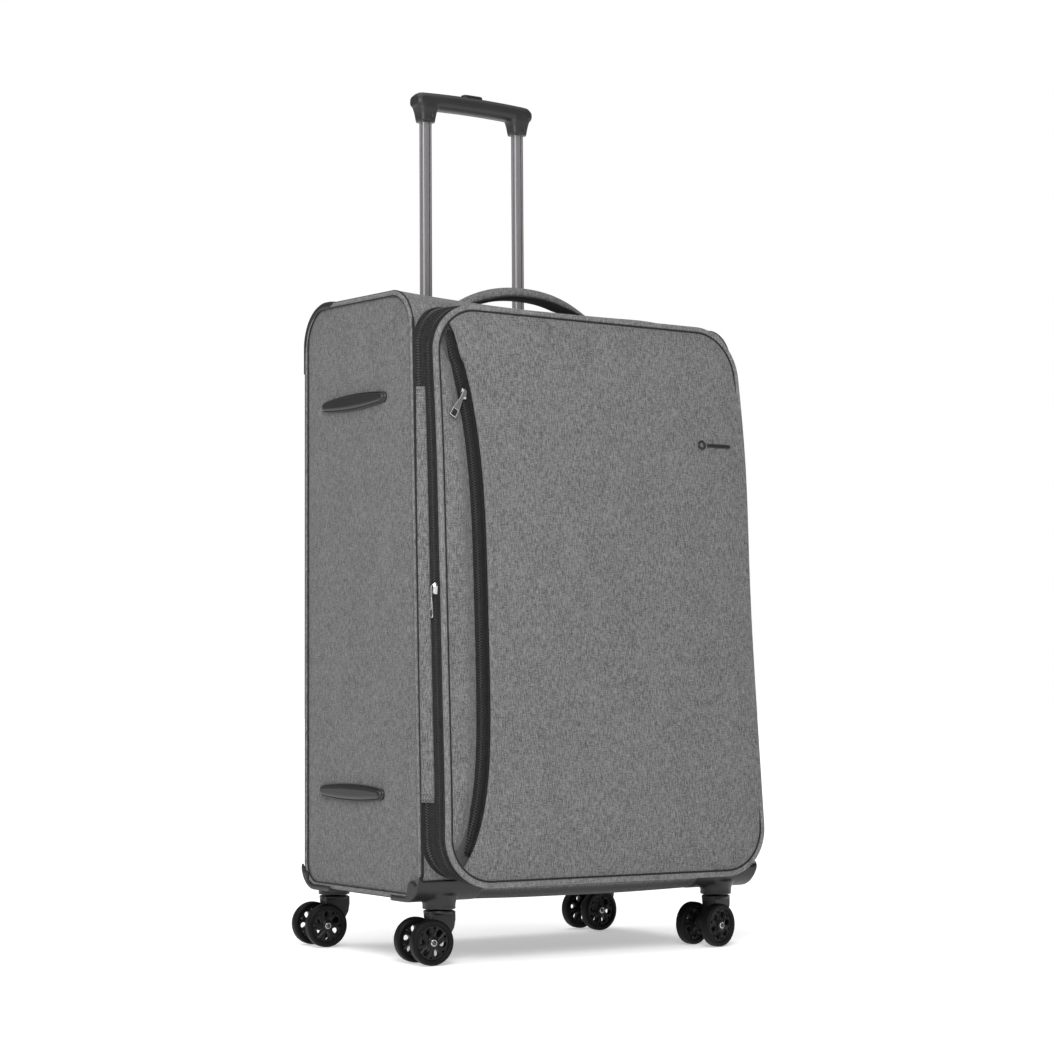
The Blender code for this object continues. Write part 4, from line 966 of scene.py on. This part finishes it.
# ---- lid -----------------------------------------------------------------------------------------
def flap_ends():
    """Where the pocket edge leaves the lid's rounded corners: (x, z) below and above."""
    outline = lid_outline(0.0063, 12, 24)
    pitch = 12 + 24
    return outline[2 * pitch + 6], outline[pitch + 6]


FLAP_ENDS = flap_ends()


def pocket_edge(z):
    low, high = FLAP_ENDS
    middle = (low[1] + high[1]) / 2
    end, power = (high, 3) if z > middle else (low, 5)
    end_inset = end[0] + lid_half(end[1])
    share = min(1.0, abs(z - middle) / abs(end[1] - middle))
    fold = 0.0022 / (1 + math.exp(-(z - 0.694) / 0.0012)) * (1 - eased_step((z - 0.700) / 0.030))
    return -lid_half(z) + FLAP_INSET + (end_inset - FLAP_INSET) * share ** power - fold


def build_lid():
    """The lid's panel, sunk beside the pocket, its cord, its seams and the lining inside."""
    outline = lid_outline(0.0054)
    grid = panel_grid(outline, 120, 90)
    room = margins(grid, outline)

    def outer(x, z):
        inside = room[x, z]
        sink = 0.0088 * eased_step((x - pocket_edge(z) + 0.030) / 0.020)
        swell = 0.0042 * (1 - math.exp(-inside / 0.010))
        swell += 0.0006 * ripple(x, z, 1.0, 12.0) * min(1, inside / 0.03)
        return (x, lid_y(z) - swell + sink, z)

    obj = panel("lid_fabric", grid, outer, lambda x, z: (x, lid_y(z) + 0.0050, z), GREY)
    put(obj, "lid", "grey_fabric", "lid_panel")

    def ring(inset, back):
        return [(x, lid_y(z) + back, z) for x, z in lid_outline(inset, 20, 40)]

    along = (0, 1, 0)
    pipe = sweep("lid_piping_cord", ring(0.0030, 0.0008), along, circle(0.0036, 16), GREY_PIPING)
    put(pipe, "lid", "grey_fabric", "lid_piping")
    cord("lid_seam_front", ring(0.0068, -0.0011), along, 0.0012, "lid")
    cord("lid_seam_rear", ring(0.0008, 0.0050), along, 0.0012, "lid")
    lining = panel("lid_lining", panel_grid(lid_outline(0.0075), 40, 30),
                   lambda x, z: (x, lid_y(z) + 0.0062 + 0.0004 * ripple(x, z, 2.0, 10.0), z),
                   lambda x, z: (x, lid_y(z) + 0.0046, z), LINING)
    put(lining, "lid", "lining_fabric")


def build_flap():
    """The pocket's padded front, its hem with a painted shadow line, and the tape and coil of the zip beside
    it; the tape is widened over the gap as painted shade.
    """
    grid = panel_grid(lid_outline(0.0066), 170, 120, pocket_edge)
    room = margins(grid, lid_outline(0.0066, 16, 40))

    def outer(x, z):
        inside = room[x, z]
        free = max(0.0, x - pocket_edge(z))
        swell = 0.0006 + 0.0088 * (1 - math.exp(-inside / 0.016))
        lip = 0.0022 * math.exp(-free / 0.0016)
        hem = 0.0005 * math.exp(-((free - 0.0105) / 0.0012) ** 2)
        soft = 0.0011 * ripple(x, z, 11.0, 4.0) + 0.0005 * ripple(x, z, 13.0, 14.0)
        wrap = eased_step((x - 0.05) / 0.12) * eased_step((LID_HIGH - 0.050 - z) / 0.07)
        wrap *= eased_step((z - LID_LOW - 0.05) / 0.07)
        over = 0.0028 * wrap * math.exp(-inside / 0.006)
        aside = 0.0042 * wrap * math.exp(-inside / 0.016)
        return (x + aside, lid_y(z) - swell - over + lip + hem - soft * min(1, inside / 0.04), z)

    def inner(x, z):
        return (x, lid_y(z) - 0.0002 - 0.0058 * (1 - math.exp(-room[x, z] / 0.016)), z)

    obj = panel("pocket_front", grid, outer, inner, GREY)
    put(obj, "lid", "grey_fabric", "pocket_flap")

    low, high = FLAP_ENDS[0][1] + 0.016, FLAP_ENDS[1][1] - 0.010
    levels = np.linspace(low, high, 170)
    # The zip tape is partly real tape and partly painted shade: its black ribbon is widened over the shaded
    # gap under the flap's edge.
    loops = []
    for k, z in enumerate(levels):
        wide = 0.0030 + 0.0090 * min(1.0, min(z - low, high - z) / 0.05) ** 0.6
        rib = 0.0002 * (k % 2)
        profile = ((0.0030, 0.0040), (0.0030, 0.0012 - rib), (-wide * 0.30, 0.0010 - rib),
                   (-wide * 0.62, 0.0012 - rib), (-wide * 0.66, 0.0022), (-wide * 0.72, 0.0014 - rib),
                   (-wide, 0.0022 - rib), (-wide - 0.0008, 0.0034), (-wide - 0.0004, 0.0044), (0.0, 0.0044))
        loops.append([(pocket_edge(z) + a, lid_y(z) + b, z) for a, b in profile])
    put(loft("pocket_tape_and_gap_shade", loops, ZIP_TAPE_AND_GAP_SHADE), "lid", "black_fabric")
    # Painted shadow: a dark cord along the flap's free edge stands for the shade under the hem.
    hem = [(pocket_edge(z) + 0.0016, lid_y(z) - 0.0012, z) for z in levels]
    cord("pocket_hem_shadow", hem, (0, 1, 0), 0.0011, "lid", False)
    across, ahead, up = np.array([(0.0013, 0, 0), (0, 0, 0.00066), (0, -0.0011, 0)])
    blocks = []
    for k, z in enumerate(np.arange(low, high, COIL_PITCH)):
        x = pocket_edge(z) - 0.0088 + (0.0008 if k % 2 else -0.0008)
        blocks.append((np.array([x, lid_y(z) + 0.0008, z]), across, ahead, up))
    coil("pocket_zip_coil", blocks, "lid")


def build_badge():
    """A plain round emblem with a slim bar beside it."""
    low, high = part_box("badge")
    x, z = (low[0] + high[0]) / 2, (low[2] + high[2]) / 2
    tilt = math.atan((lid_y(z + 0.01) - lid_y(z - 0.01)) / 0.02)
    rings = [circle(0.0060, 24, (-0.0190, 0.0)), circle(0.0032, 20, (-0.0190, 0.0))]
    disc = plate("badge_disc", rings, 0.0016, 0.0004, DARK_METAL)
    bar = plate("badge_bar", [rounded_box(0.0350, 0.0044, 0.0008, 4, 2, 0.0070)], 0.0014, 0.0004, DARK_METAL)
    place = Matrix.Translation((x, low[1] + 0.0012, z)) @ Matrix.Rotation(math.pi / 2 - tilt, 4, "X")
    badge = joined("badge_plain", [moved(disc, place), moved(bar, place)], DARK_METAL)
    put(badge, "lid", "badge_metal", "badge")


# ---- handles -------------------------------------------------------------------------------------
def mirrored(x, half):
    """A strap's loop at x, from the (across, up) pairs of one side up to the middle line."""
    return [(x, y, z) for y, z in half] + [(x, -y, z) for y, z in half[-2::-1]]


def strap_handle(name, place, half_span, rise, rest, width, thick, end):
    """A padded strap handle in its own frame: X along, Y across, Z off the case."""
    upper, lower, seam = [], [], []
    for s in np.linspace(-1, 1, 61):
        x = s * half_span
        crown = 1 - abs(s) ** 2.3
        top = rest + rise * crown
        depth = end + (thick - end) * min(1.0, max(0.0, (1 - abs(s)) / 0.45)) ** 0.7
        half = width / 2 * (0.93 + 0.07 * crown)
        split = top - depth * 0.78
        low = top - depth
        under = split - low
        upper.append(mirrored(x, [(half * 0.97, split), (half, split + depth * 0.18),
                                  (half * 0.90, split + depth * 0.38), (half * 0.60, top - depth * 0.02),
                                  (0, top)]))
        lower.append(mirrored(x, [(half * 0.93, split), (half * 0.90, split - under * 0.3),
                                  (half * 0.78, split - under * 0.7), (half * 0.50, low + under * 0.08),
                                  (0, low)]))
        seam.append((x, half * 0.985, split))
    for label, loops, material, slot, stands_for in (("cover", upper, GREY, "grey_fabric", [name]),
                                                     ("lining", lower, STRAP_LINING, "black_fabric", [])):
        obj = loft(f"{name}_{label}", loops, material)
        subdivide = obj.modifiers.new("round", "SUBSURF")
        subdivide.levels = subdivide.render_levels = 1
        put(moved(applied(obj), place), "case", slot, *stands_for)
    for side, label in ((1, "left"), (-1, "right")):
        points = [(x, side * y, z) for x, y, z in seam]
        line = sweep(f"{name}_seam_{label}", points, (0, 1, 0), circle(0.0009, 8), THREAD_DARK, closed=False)
        put(moved(line, place), "case", "black_fabric")
    # A stitched plastic-backed end tab at each end.
    for label, side in (("first", -1), ("second", 1)):
        centre = side * (half_span - 0.0075)
        outline = rounded_box(0.0170, width + 0.0016, 0.002, 5, 2)
        tab = plate(f"{name}_tab_{label}", [outline], 0.0022, 0.0005, PLASTIC)
        moved(tab, place @ Matrix.Translation((centre, 0, rest - 0.0057)))
        put(tab, "case", "black_plastic", f"{name}_anchor_{label}")
        reach = width * 0.40
        row = [(centre - side * 0.0062, y, rest + 0.0006) for y in np.linspace(-reach, reach, 12)]
        mark = stitches(f"{name}_bar_{label}", row, 0.0018, 0.0008, 0.00035, THREAD_DARK)
        put(moved(mark, place), "case", "black_fabric")


def build_carry_handles():
    low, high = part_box("top_handle")
    slope = math.atan((CASE_HIGH_REAR - CASE_HIGH) / (REAR_HIGH_Y - FRONT_HIGH_Y))
    y = (low[1] + high[1]) / 2
    z = CASE_HIGH + math.tan(slope) * (y - FRONT_HIGH_Y) + 0.0016
    place = Matrix.Translation((0, y, z)) @ Matrix.Rotation(slope, 4, "X")
    strap_handle("top_handle", place, 0.101, 0.0310, 0.0000, 0.030, 0.0165, 0.0065)
    low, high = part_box("side_handle")
    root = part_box("side_handle_anchor_first")[0][0]
    place = Matrix.Translation((root + 0.0006, (low[1] + high[1]) / 2, (low[2] + high[2]) / 2))
    place = place @ Matrix.Rotation(math.pi / 2, 4, "Y")
    strap_handle("side_handle", place, 0.101, high[0] - root - 0.0070, 0.0058, 0.030, 0.0085, 0.0050)


# ---- pull-out handle -----------------------------------------------------------------------------
GROOVES = (0.0030, -0.0045)
TUBE_WIDTH, TUBE_DEPTH = 0.0146, 0.0106


def notch(distance, half_width):
    """The share of a groove's depth at a distance from its middle."""
    return math.exp(-(distance / half_width) ** 4)


def tube_profile(width, depth):
    """A rounded tube's outline with two grooves on its wide faces and one on its narrow ones."""
    shaped = []
    for x, y in rounded_box(width, depth, 0.0030, 6, 28):
        if abs(abs(y) - depth / 2) < 1e-5:
            y -= math.copysign(0.0009 * max(notch(x - GROOVES[0], 0.0007), notch(x - GROOVES[1], 0.0005)), y)
        elif abs(abs(x) - width / 2) < 1e-5:
            x -= math.copysign(0.0007 * notch(y, 0.0010), x)
        shaped.append((x, y))
    return shaped


def build_tubes():
    """The two grooved aluminium tubes, with a dark strip of painted shade in each front groove."""
    for label in ("left", "right"):
        verts = points_of(f"inner_tube_{label}")
        top = verts[verts[:, 2] > verts[:, 2].max() - 0.004].mean(0)
        bottom = verts[verts[:, 2] < verts[:, 2].min() + 0.004].mean(0)
        direction = (top - bottom) / np.linalg.norm(top - bottom)
        sideways, backwards = np.array([1, 0, 0]), np.array([0, direction[2], -direction[1]])
        loops = [[end + x * sideways + y * backwards for x, y in tube_profile(TUBE_WIDTH, TUBE_DEPTH)]
                 for end in (bottom, top)]
        tube = loft(f"tube_{label}", loops, ALUMINIUM)
        tube.data.set_sharp_from_angle(angle=math.radians(28))
        put(tube, "trolley", "aluminium", f"inner_tube_{label}")
        # Painted shade: a thin dark strip set down in each front groove.
        profile = [(a * 0.0001, b * 0.0006) for a, b in ((-1, -1), (1, -1), (1, 1), (-1, 1))]
        for number, x in enumerate(GROOVES):
            line = [bottom + (top - bottom) * t + x * sideways - (TUBE_DEPTH / 2 - 0.00078) * backwards
                    for t in (0.01, 0.99)]
            strip = sweep(f"tube_groove_shade_{label}_{number}", line, (0, 1, 0), profile, GROOVE, False, False)
            put(strip, "trolley", "aluminium")


def build_grip():
    """The grip: a bowed bar and two flared legs fused into one, with collars, slots and the button."""
    low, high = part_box("grip")
    middle_y = (low[1] + high[1]) / 2
    lean = (REAR_HIGH_Y - REAR_LOW_Y) / (CASE_HIGH_REAR - CASE_LOW)
    half = (high[0] - low[0]) / 2
    bar_low, bar_high = low[2] + 0.0158, high[2] - 0.0030
    loops = []
    for s in np.linspace(-1, 1, 33):
        bulge = 1 - s ** 2
        end = math.sqrt(max(0.0, 1 - max(0.0, (abs(s) - 0.90) / 0.10) ** 2))
        top = bar_high + 0.0030 * bulge
        bottom = bar_low - 0.0010 * abs(s) ** 3 + 0.0015 * bulge
        tall = max((top - bottom) * (0.55 + 0.45 * end), 0.002)
        deep = (high[1] - low[1] - 0.002) * (0.80 + 0.20 * end) * (0.93 + 0.07 * s ** 2)
        outline = rounded_box(deep, tall, min(tall, deep) * 0.42, 7, 3, middle_y, (top + bottom) / 2)
        loops.append([(s * half, y, z) for y, z in outline])
    parts = [loft("grip_bar", loops, GRIP_PLASTIC)]
    for sign in (-1, 1):
        rings = []
        for share, wide, deep in ((0.0, 0.0235, 0.0190), (0.10, 0.0240, 0.0195), (0.45, 0.0270, 0.0215),
                                  (0.75, 0.0310, 0.0245), (1.0, 0.0325, 0.0255)):
            z = low[2] + share * (bar_low - low[2] + 0.008)
            outline = rounded_box(wide, deep, min(wide, deep) * 0.36, 7, 3, sign * TUBE_X,
                                  middle_y - lean * (bar_low - z))
            rings.append([(x, y, z) for x, y in outline])
        parts.append(loft(f"grip_leg_{sign}", rings, GRIP_PLASTIC))
    grip = fused(joined("grip_body", parts, GRIP_PLASTIC), 0.0011, 5)
    put(grip, "trolley", "grip_plastic", "grip")
    for sign, label in ((-1, "left"), (1, "right")):
        # The dark rim that the tube comes out of, and the narrow slot down each leg's front.
        ring = rounded_box(0.0212, 0.0168, 0.004, 6, 3, sign * TUBE_X, middle_y - lean * 0.018)
        loops = [[(x, y, low[2] + dz) for x, y in ring] for dz in (-0.0006, 0.0010)]
        put(loft(f"grip_collar_{label}", loops, DARK_METAL), "trolley", "black_plastic")
        ring = rounded_box(0.0016, 0.0120, 0.0007, 4, 2, sign * TUBE_X + 0.0048, low[2] + 0.0095)
        loops = [[(x, low[1] + 0.0034 - out, z) for x, z in ring] for out in (0.0, 0.0007)]
        put(loft(f"grip_slot_{label}", loops, DARK_METAL), "trolley", "black_plastic")
    low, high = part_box("grip_button")
    half_x, half_y, top = 0.0152, 0.0058, high[2]
    outline = rounded_box(2 * half_x, 2 * half_y, 0.0052, 10, 6)
    loops = []
    for z, shrink in ((low[2], 0), (top - 0.0018, 0), (top - 0.0007, 0.0006), (top - 0.0001, 0.0018),
                      (top, 0.0034)):
        loops.append([(x * (1 - shrink / half_x), (low[1] + high[1]) / 2 + y * (1 - shrink / half_y * 0.9), z)
                      for x, y in outline])
    put(loft("release_button", loops, PLASTIC), "grip_button", "black_plastic", "grip_button")


# ---- casters -------------------------------------------------------------------------------------
def points_of(name):
    node = nodes[name]
    return np.array([tuple(node.matrix_world @ v.co) for v in node.data.vertices])


def long_axis(verts):
    """The middle of a piece and the direction it is longest in."""
    centre = (verts.max(0) + verts.min(0)) / 2
    return centre, np.linalg.eigh(np.cov((verts - verts.mean(0)).T))[1][:, -1]


def fork_stem(corner):
    """The middle of a caster fork's top."""
    verts = points_of(f"caster_fork_{corner}")
    return verts[verts[:, 2] > verts[:, 2].max() - 0.0005].mean(0)


def polar(radius, angle):
    return (radius * math.cos(angle), radius * math.sin(angle))


def wheel_hole(angle):
    """A rounded hole between two spokes, wider towards the rim."""
    hole = []
    for k in range(20):
        turn = 2 * math.pi * k / 20
        radial = 0.01265 + 0.0046 * math.cos(turn)
        wide = 0.0033 * (1 + 0.30 * math.cos(turn)) * math.sin(turn)
        hole.append((radial * math.cos(angle) - wide * math.sin(angle),
                     radial * math.sin(angle) + wide * math.cos(angle)))
    return hole


def wheel_parts():
    """One wheel at the origin, its axle along Z: its tyre and its hub."""
    profile = ((0.0196, -0.0050), (0.0196, 0.0050), (0.0212, 0.0061), (0.0240, 0.0062), (0.0254, 0.0055),
               (0.02596, 0.0040), (0.02606, 0.0020), (0.02606, -0.0020), (0.02596, -0.0040),
               (0.0254, -0.0055), (0.0240, -0.0062), (0.0212, -0.0061))
    tyre = revolved("tyre", profile, 64, TYRE)
    spokes = [math.pi / 3 * (k + 0.5) + 0.2 for k in range(6)]
    outlines = [circle(0.0203, 64)] + [wheel_hole(math.pi / 3 * k + 0.2) for k in range(6)]
    outlines += [circle(0.0015, 14, polar(0.0168, angle)) for angle in spokes]
    parts = [plate("hub", outlines, 0.0078, 0.0007, WHEEL_PLASTIC)]
    for angle in spokes:
        for spread in (-0.22, 0.22):
            for z in (-0.0040, 0.0040):
                line = [(*polar(0.0070, angle), z), (*polar(0.0192, angle + spread), z)]
                parts.append(sweep("rib", line, (0, 0, 1), circle(0.0007, 6), WHEEL_PLASTIC, closed=False))
    profile = ((0.0030, -0.0060), (0.0030, 0.0060), (0.0058, 0.0060), (0.0068, 0.0052), (0.0070, -0.0052),
               (0.0058, -0.0060))
    parts.append(revolved("boss", profile, 40, WHEEL_PLASTIC))
    hub = joined("hub_all", parts, WHEEL_PLASTIC)
    hub.data.set_sharp_from_angle(angle=math.radians(45))
    return tyre, hub


def build_wheels():
    tyre, hub = wheel_parts()
    ring = ((0.0026, 0.0050), (0.0026, 0.0066), (0.0033, 0.0069), (0.0039, 0.0066), (0.0039, 0.0050))
    for corner in CORNERS:
        ends, axis = long_axis(points_of(f"caster_axle_{corner}"))
        axis = Vector(axis)
        for place, start in (("inner", 0.5), ("outer", 0.15)):
            name = f"wheel_{corner}_{place}"
            low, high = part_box(name)
            centre = (Vector(low) + Vector(high)) / 2
            outward = axis if (centre - Vector(ends)).dot(axis) > 0 else -axis
            turn = Matrix.Translation(centre) @ outward.to_track_quat("Z", "Y").to_matrix().to_4x4()
            spun = turn @ Matrix.Rotation(start + len(corner) * 0.37, 4, "Z")
            for kind, source, slot, replaced in (("tyre", tyre, "wheel_rubber", [name]),
                                                 ("hub", hub, "black_plastic", [])):
                obj = linked(f"{kind}_{corner}_{place}", source.data.copy())
                put(moved(obj, spun), name, slot, *replaced)
            bright = revolved(f"hub_ring_{corner}_{place}", ring, 24, CHROME)
            put(moved(bright, turn), f"caster_{corner}", "steel")
    for obj in (tyre, hub):
        bpy.data.objects.remove(obj)


def build_casters():
    """Each caster's fork: a solid web with ribs down its back, a turntable on top, and the axle's sockets."""
    top = 0.0603
    upright = Matrix(((1, 0, 0, 0), (0, 0, -1, 0), (0, 1, 0, 0), (0, 0, 0, 1)))
    for corner in CORNERS:
        body = f"caster_{corner}"
        stem = fork_stem(corner)
        ends, axis = long_axis(points_of(f"caster_axle_{corner}"))
        trail = Vector((ends[0] - stem[0], ends[1] - stem[1], 0))
        reach, axle_z = trail.length, ends[2]
        trail.normalize()
        base = Matrix(((trail.x, -trail.y, 0, stem[0]), (trail.y, trail.x, 0, stem[1]), (0, 0, 1, 0),
                       (0, 0, 0, 1)))
        side = rounded(((-0.0158, top), (-0.0160, 0.0480), (-0.0105, 0.0335), (0.004, 0.0205),
                        (reach - 0.002, axle_z - 0.0078), (reach + 0.0072, axle_z - 0.0062),
                        (reach + 0.0074, axle_z + 0.0062), (reach - 0.002, 0.0420), (0.0140, 0.0470),
                        (0.0158, top)),
                       [0.001, 0.012, 0.012, 0.02, 0.004, 0.006, 0.006, 0.012, 0.004, 0.001], 6, 3)
        web = plate(f"fork_{corner}", [side], 0.0205, 0.0016, PLASTIC, 3)
        put(moved(web, base @ upright), body, "black_plastic", f"caster_fork_{corner}")
        for number, offset in enumerate((-0.0066, 0.0, 0.0066)):
            back = [(x, offset, z) for x, z in ((-0.0163, top - 0.001), (-0.0166, 0.0500), (-0.0150, 0.0410),
                                                (-0.0098, 0.0320), (-0.0035, 0.0258))]
            rib = sweep(f"fork_rib_{corner}_{number}", back, (0, 1, 0), circle(0.0014, 10), PLASTIC, False)
            put(moved(rib, base), body, "black_plastic")
        rings = ((0.0150, 0.0560), (0.0168, 0.0572), (0.0170, 0.0600), (0.0160, 0.0606), (0.0052, 0.0606),
                 (0.0050, 0.0660))
        disc = stacked(f"fork_disc_{corner}", rings, 48, PLASTIC)
        put(moved(disc, base), body, "black_plastic")
        for sign in (-1, 1):
            rings = ((0.0026, 0.0), (0.0026, 0.0008))
            socket = stacked(f"axle_socket_{corner}_{sign + 1}", rings, 24, DARK_METAL)
            direction = Vector(axis) * sign
            turn = direction.to_track_quat("Z", "Y").to_matrix().to_4x4()
            moved(socket, Matrix.Translation(Vector(ends) + direction * 0.0269) @ turn)
            put(socket, body, "steel")


def build_housings():
    """Corner guards that flow into the casters' cups."""
    skin = case_outline(0.0026, 14, 60)
    inside = case_outline(-0.0035, 14, 60)
    for corner in CORNERS:
        sx = -1 if "left" in corner else 1
        front = corner.startswith("front")
        stem = fork_stem(corner)
        low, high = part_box(f"wheel_housing_{corner}")
        edge_y = low[1] if front else high[1]
        ahead = 1 if front else -1
        # The guard's outline in the side view, as a stretch of the case outline, with its inner points.
        reach = high[1] - low[1] + 0.004
        chosen = [(outer, inner) for outer, inner in zip(skin, inside)
                  if outer[1] < min(high[2], 0.13) and -0.001 <= ahead * (outer[0] - edge_y) < reach]
        chosen.sort(key=lambda pair: math.atan2(pair[0][1] - 0.12, pair[0][0] - edge_y - ahead * 0.04))
        loop = [outer for outer, inner in chosen] + [inner for outer, inner in chosen[::-1]]
        strips = [[(sx * x, *point) for point in loop] for x in np.linspace(0.1545, HALF_WIDTH + 0.0040, 30)]
        wing = loft(f"wing_{corner}", strips, PLASTIC)
        # The side face of the guard, over the side panel's lower corner.
        near, far = sx * (HALF_WIDTH + 0.0010), sx * (HALF_WIDTH + 0.0042)
        cheek = []
        for (y, z), inner in chosen:
            along = abs(y - edge_y)
            cover = 1 - eased_step((along - 0.018) / 0.016)
            cover *= 1 - eased_step((z - high[2] + 0.022) / 0.010)
            inward = np.array([0.015 - y, 0.43 - z]) if along < 0.03 else np.array([0.0, 1.0])
            ya, za = np.array([y, z]) + inward / np.linalg.norm(inward) * (0.0070 + 0.0140 * cover)
            cheek.append([(near, y, z), (far, y, z), (far, ya, za), (near, ya, za)])
        cheek = loft(f"cheek_{corner}", cheek, PLASTIC)
        rings = ((0.0172, 0.0622), (0.0186, 0.0615), (0.0194, 0.0622), (0.0190, 0.0640), (0.0192, 0.0690),
                 (0.0204, 0.0735), (0.0228, 0.0780), (0.0205, 0.0850), (0.0188, 0.0895), (0.0150, 0.0922),
                 (0.0060, 0.0935))
        cup = stacked(f"cup_{corner}", rings, 48, PLASTIC, (stem[0], stem[1]))
        made = fused(joined(f"caster_mount_{corner}", [wing, cheek, cup], PLASTIC), 0.0013, 5)
        put(made, "case", "black_plastic", f"wheel_housing_{corner}")


# ---- zip pulls and carried-over pieces -----------------------------------------------------------
def pull_outlines(top_width, end_width, length, frame):
    """A zip pull's outline, wider at its lower end, and the window there."""
    side = ((top_width / 2, 0.0), (top_width / 2, -length * 0.35), (end_width / 2, -length * 0.72),
            (end_width / 2, -length))
    outline = rounded([(-x, y) for x, y in side] + list(side[::-1]), [0.0006] * 8, 4, 2)
    high, low = -length * 0.74, frame - length
    return outline, rounded_box(end_width - 2 * frame, high - low, 0.0005, 4, 2, 0.0, (high + low) / 2)


def build_pulls():
    """The two pulls, each a bright frame with a dark insert, set in the CAD pull's place."""
    for name, width, outward in (("main_pull", 0.0066, (-1, 0, 0)), ("pocket_pull", 0.0090, (0, -1, 0))):
        verts = points_of(name)
        centre = verts.mean(0)
        vectors = np.linalg.eigh(np.cov((verts - centre).T))[1]
        down, thin = Vector(vectors[:, -1]), Vector(vectors[:, 0])
        if down.z > 0:
            down = -down
        if thin.dot(Vector(outward)) < 0:
            thin = -thin
        spans = (verts - centre) @ np.array(down)
        start = Vector(centre) + down * float(spans.min())
        turn = Matrix(((-down).cross(thin), -down, thin)).transposed().to_4x4()
        turn = Matrix.Translation(start) @ turn
        outline, window = pull_outlines(width * 0.48, width, float(spans.max() - spans.min()), 0.0013)
        pull = plate(f"{name}_frame", [outline, window], 0.0014, 0.0004, CHROME)
        put(moved(pull, turn), name, "zip_metal", name)
        insert = plate(f"{name}_insert", [window], 0.0008, 0.0001, PLASTIC, 1)
        put(moved(insert, turn), name, "black_plastic")


def paint(node, material, bevel=0.0008):
    obj = nodes[node]
    for slot in obj.material_slots:
        slot.material = material
    if bevel:
        soften = obj.modifiers.new("soften", "BEVEL")
        soften.width = bevel
        soften.segments = 2
        soften.limit_method = "ANGLE"
        soften.angle_limit = math.radians(35)
        soften.harden_normals = True


build_shell()
build_frame()
build_side(-1, "left")
build_side(1, "right")
build_feet()
build_badge()
build_guards()
build_band()
build_strap()
build_lid()
build_flap()
build_carry_handles()
build_tubes()
build_grip()
build_wheels()
build_casters()
build_housings()
build_pulls()

for node, material, bevel in (
    ("trolley_bezel", PLASTIC, 0.0008), ("outer_tube_left", STEEL, 0), ("outer_tube_right", STEEL, 0),
    ("tube_bracket", PLASTIC, 0.0008), ("back_lining", LINING, 0), ("expander_sleeve", BLACK_WEAVE, 0),
    ("main_slider", CHROME, 0.0005), ("pocket_slider", CHROME, 0.0005),
    ("guide_plug_left", PLASTIC, 0.0004), ("guide_plug_right", PLASTIC, 0.0004),
    *((f"caster_axle_{corner}", STEEL, 0) for corner in CORNERS),
):
    paint(node, material, bevel)


# ---- camera, light and floor ---------------------------------------------------------------------
scene = bpy.context.scene
LENS = 86.17560
AZIMUTH, PITCH, ROLL = -0.58502, 0.06368, 0.00172
forward = Vector((-math.sin(AZIMUTH) * math.cos(PITCH), math.cos(AZIMUTH) * math.cos(PITCH), math.sin(PITCH)))
right = Vector((math.cos(AZIMUTH), math.sin(AZIMUTH), 0.0))
up = right.cross(forward)
rolled_right = right * math.cos(ROLL) + up * math.sin(ROLL)
rolled_up = up * math.cos(ROLL) - right * math.sin(ROLL)
camera_data = bpy.data.cameras.new("camera")
camera_data.sensor_width = 36.0
camera_data.lens = LENS
camera_data.clip_end = 60.0
camera = linked("camera", camera_data)
turned = Matrix((rolled_right, rolled_up, -forward)).transposed().to_4x4()
camera.matrix_world = Matrix.Translation((-1.72844, -2.58961, 0.3151)) @ turned
scene.camera = camera
scene.view_settings.view_transform = "Standard"

WHITE = (1.0, 1.0, 1.0, 1.0)
world = bpy.data.worlds.new("studio")
world.use_nodes = True
tree = world.node_tree
ambient = tree.nodes["Background"]
backdrop = tree.nodes.new("ShaderNodeBackground")
for node, strength in ((ambient, 0.27), (backdrop, 1.0)):
    node.inputs["Color"].default_value = WHITE
    node.inputs["Strength"].default_value = strength
choice = tree.nodes.new("ShaderNodeMixShader")
tree.links.new(tree.nodes.new("ShaderNodeLightPath").outputs["Is Camera Ray"], choice.inputs[0])
tree.links.new(ambient.outputs[0], choice.inputs[1])
tree.links.new(backdrop.outputs[0], choice.inputs[2])
tree.links.new(choice.outputs[0], tree.nodes["World Output"].inputs["Surface"])
scene.world = world


def lamp(name, kind, place, target, power, **settings):
    data = bpy.data.lights.new(name, kind)
    data.energy = power
    for key, value in settings.items():
        setattr(data, key, value)
    light = linked(name, data)
    light.location = place
    light.rotation_euler = (Vector(target) - Vector(place)).to_track_quat("-Z", "Y").to_euler()


lamp("overhead", "SUN", (-0.6, -0.4, 3.0), (0, 0, 0), 2.0, angle=1.5)
lamp("key", "AREA", (-1.05, -1.55, 1.30), (0, 0, 0.45), 26, shape="DISK", size=0.8)

floor_finish = Nodes("pale_floor")
pale = floor_finish.colour(floor_finish.grain(3.0), (0.93, 0.93, 0.93), (0.95, 0.95, 0.95))
floor_finish.surface({"Base Color": pale, "Emission Color": WHITE, "Emission Strength": 0.42,
                      "Roughness": 0.9, "Specular IOR Level": 0.1})
FLOOR_Z = -0.0004
floor = [(20 * x, 20 * y, FLOOR_Z) for x, y in ((-1, -1), (1, -1), (1, 1), (-1, 1))]
made_object("floor", floor, [(0, 1, 2, 3)], floor_finish.material)
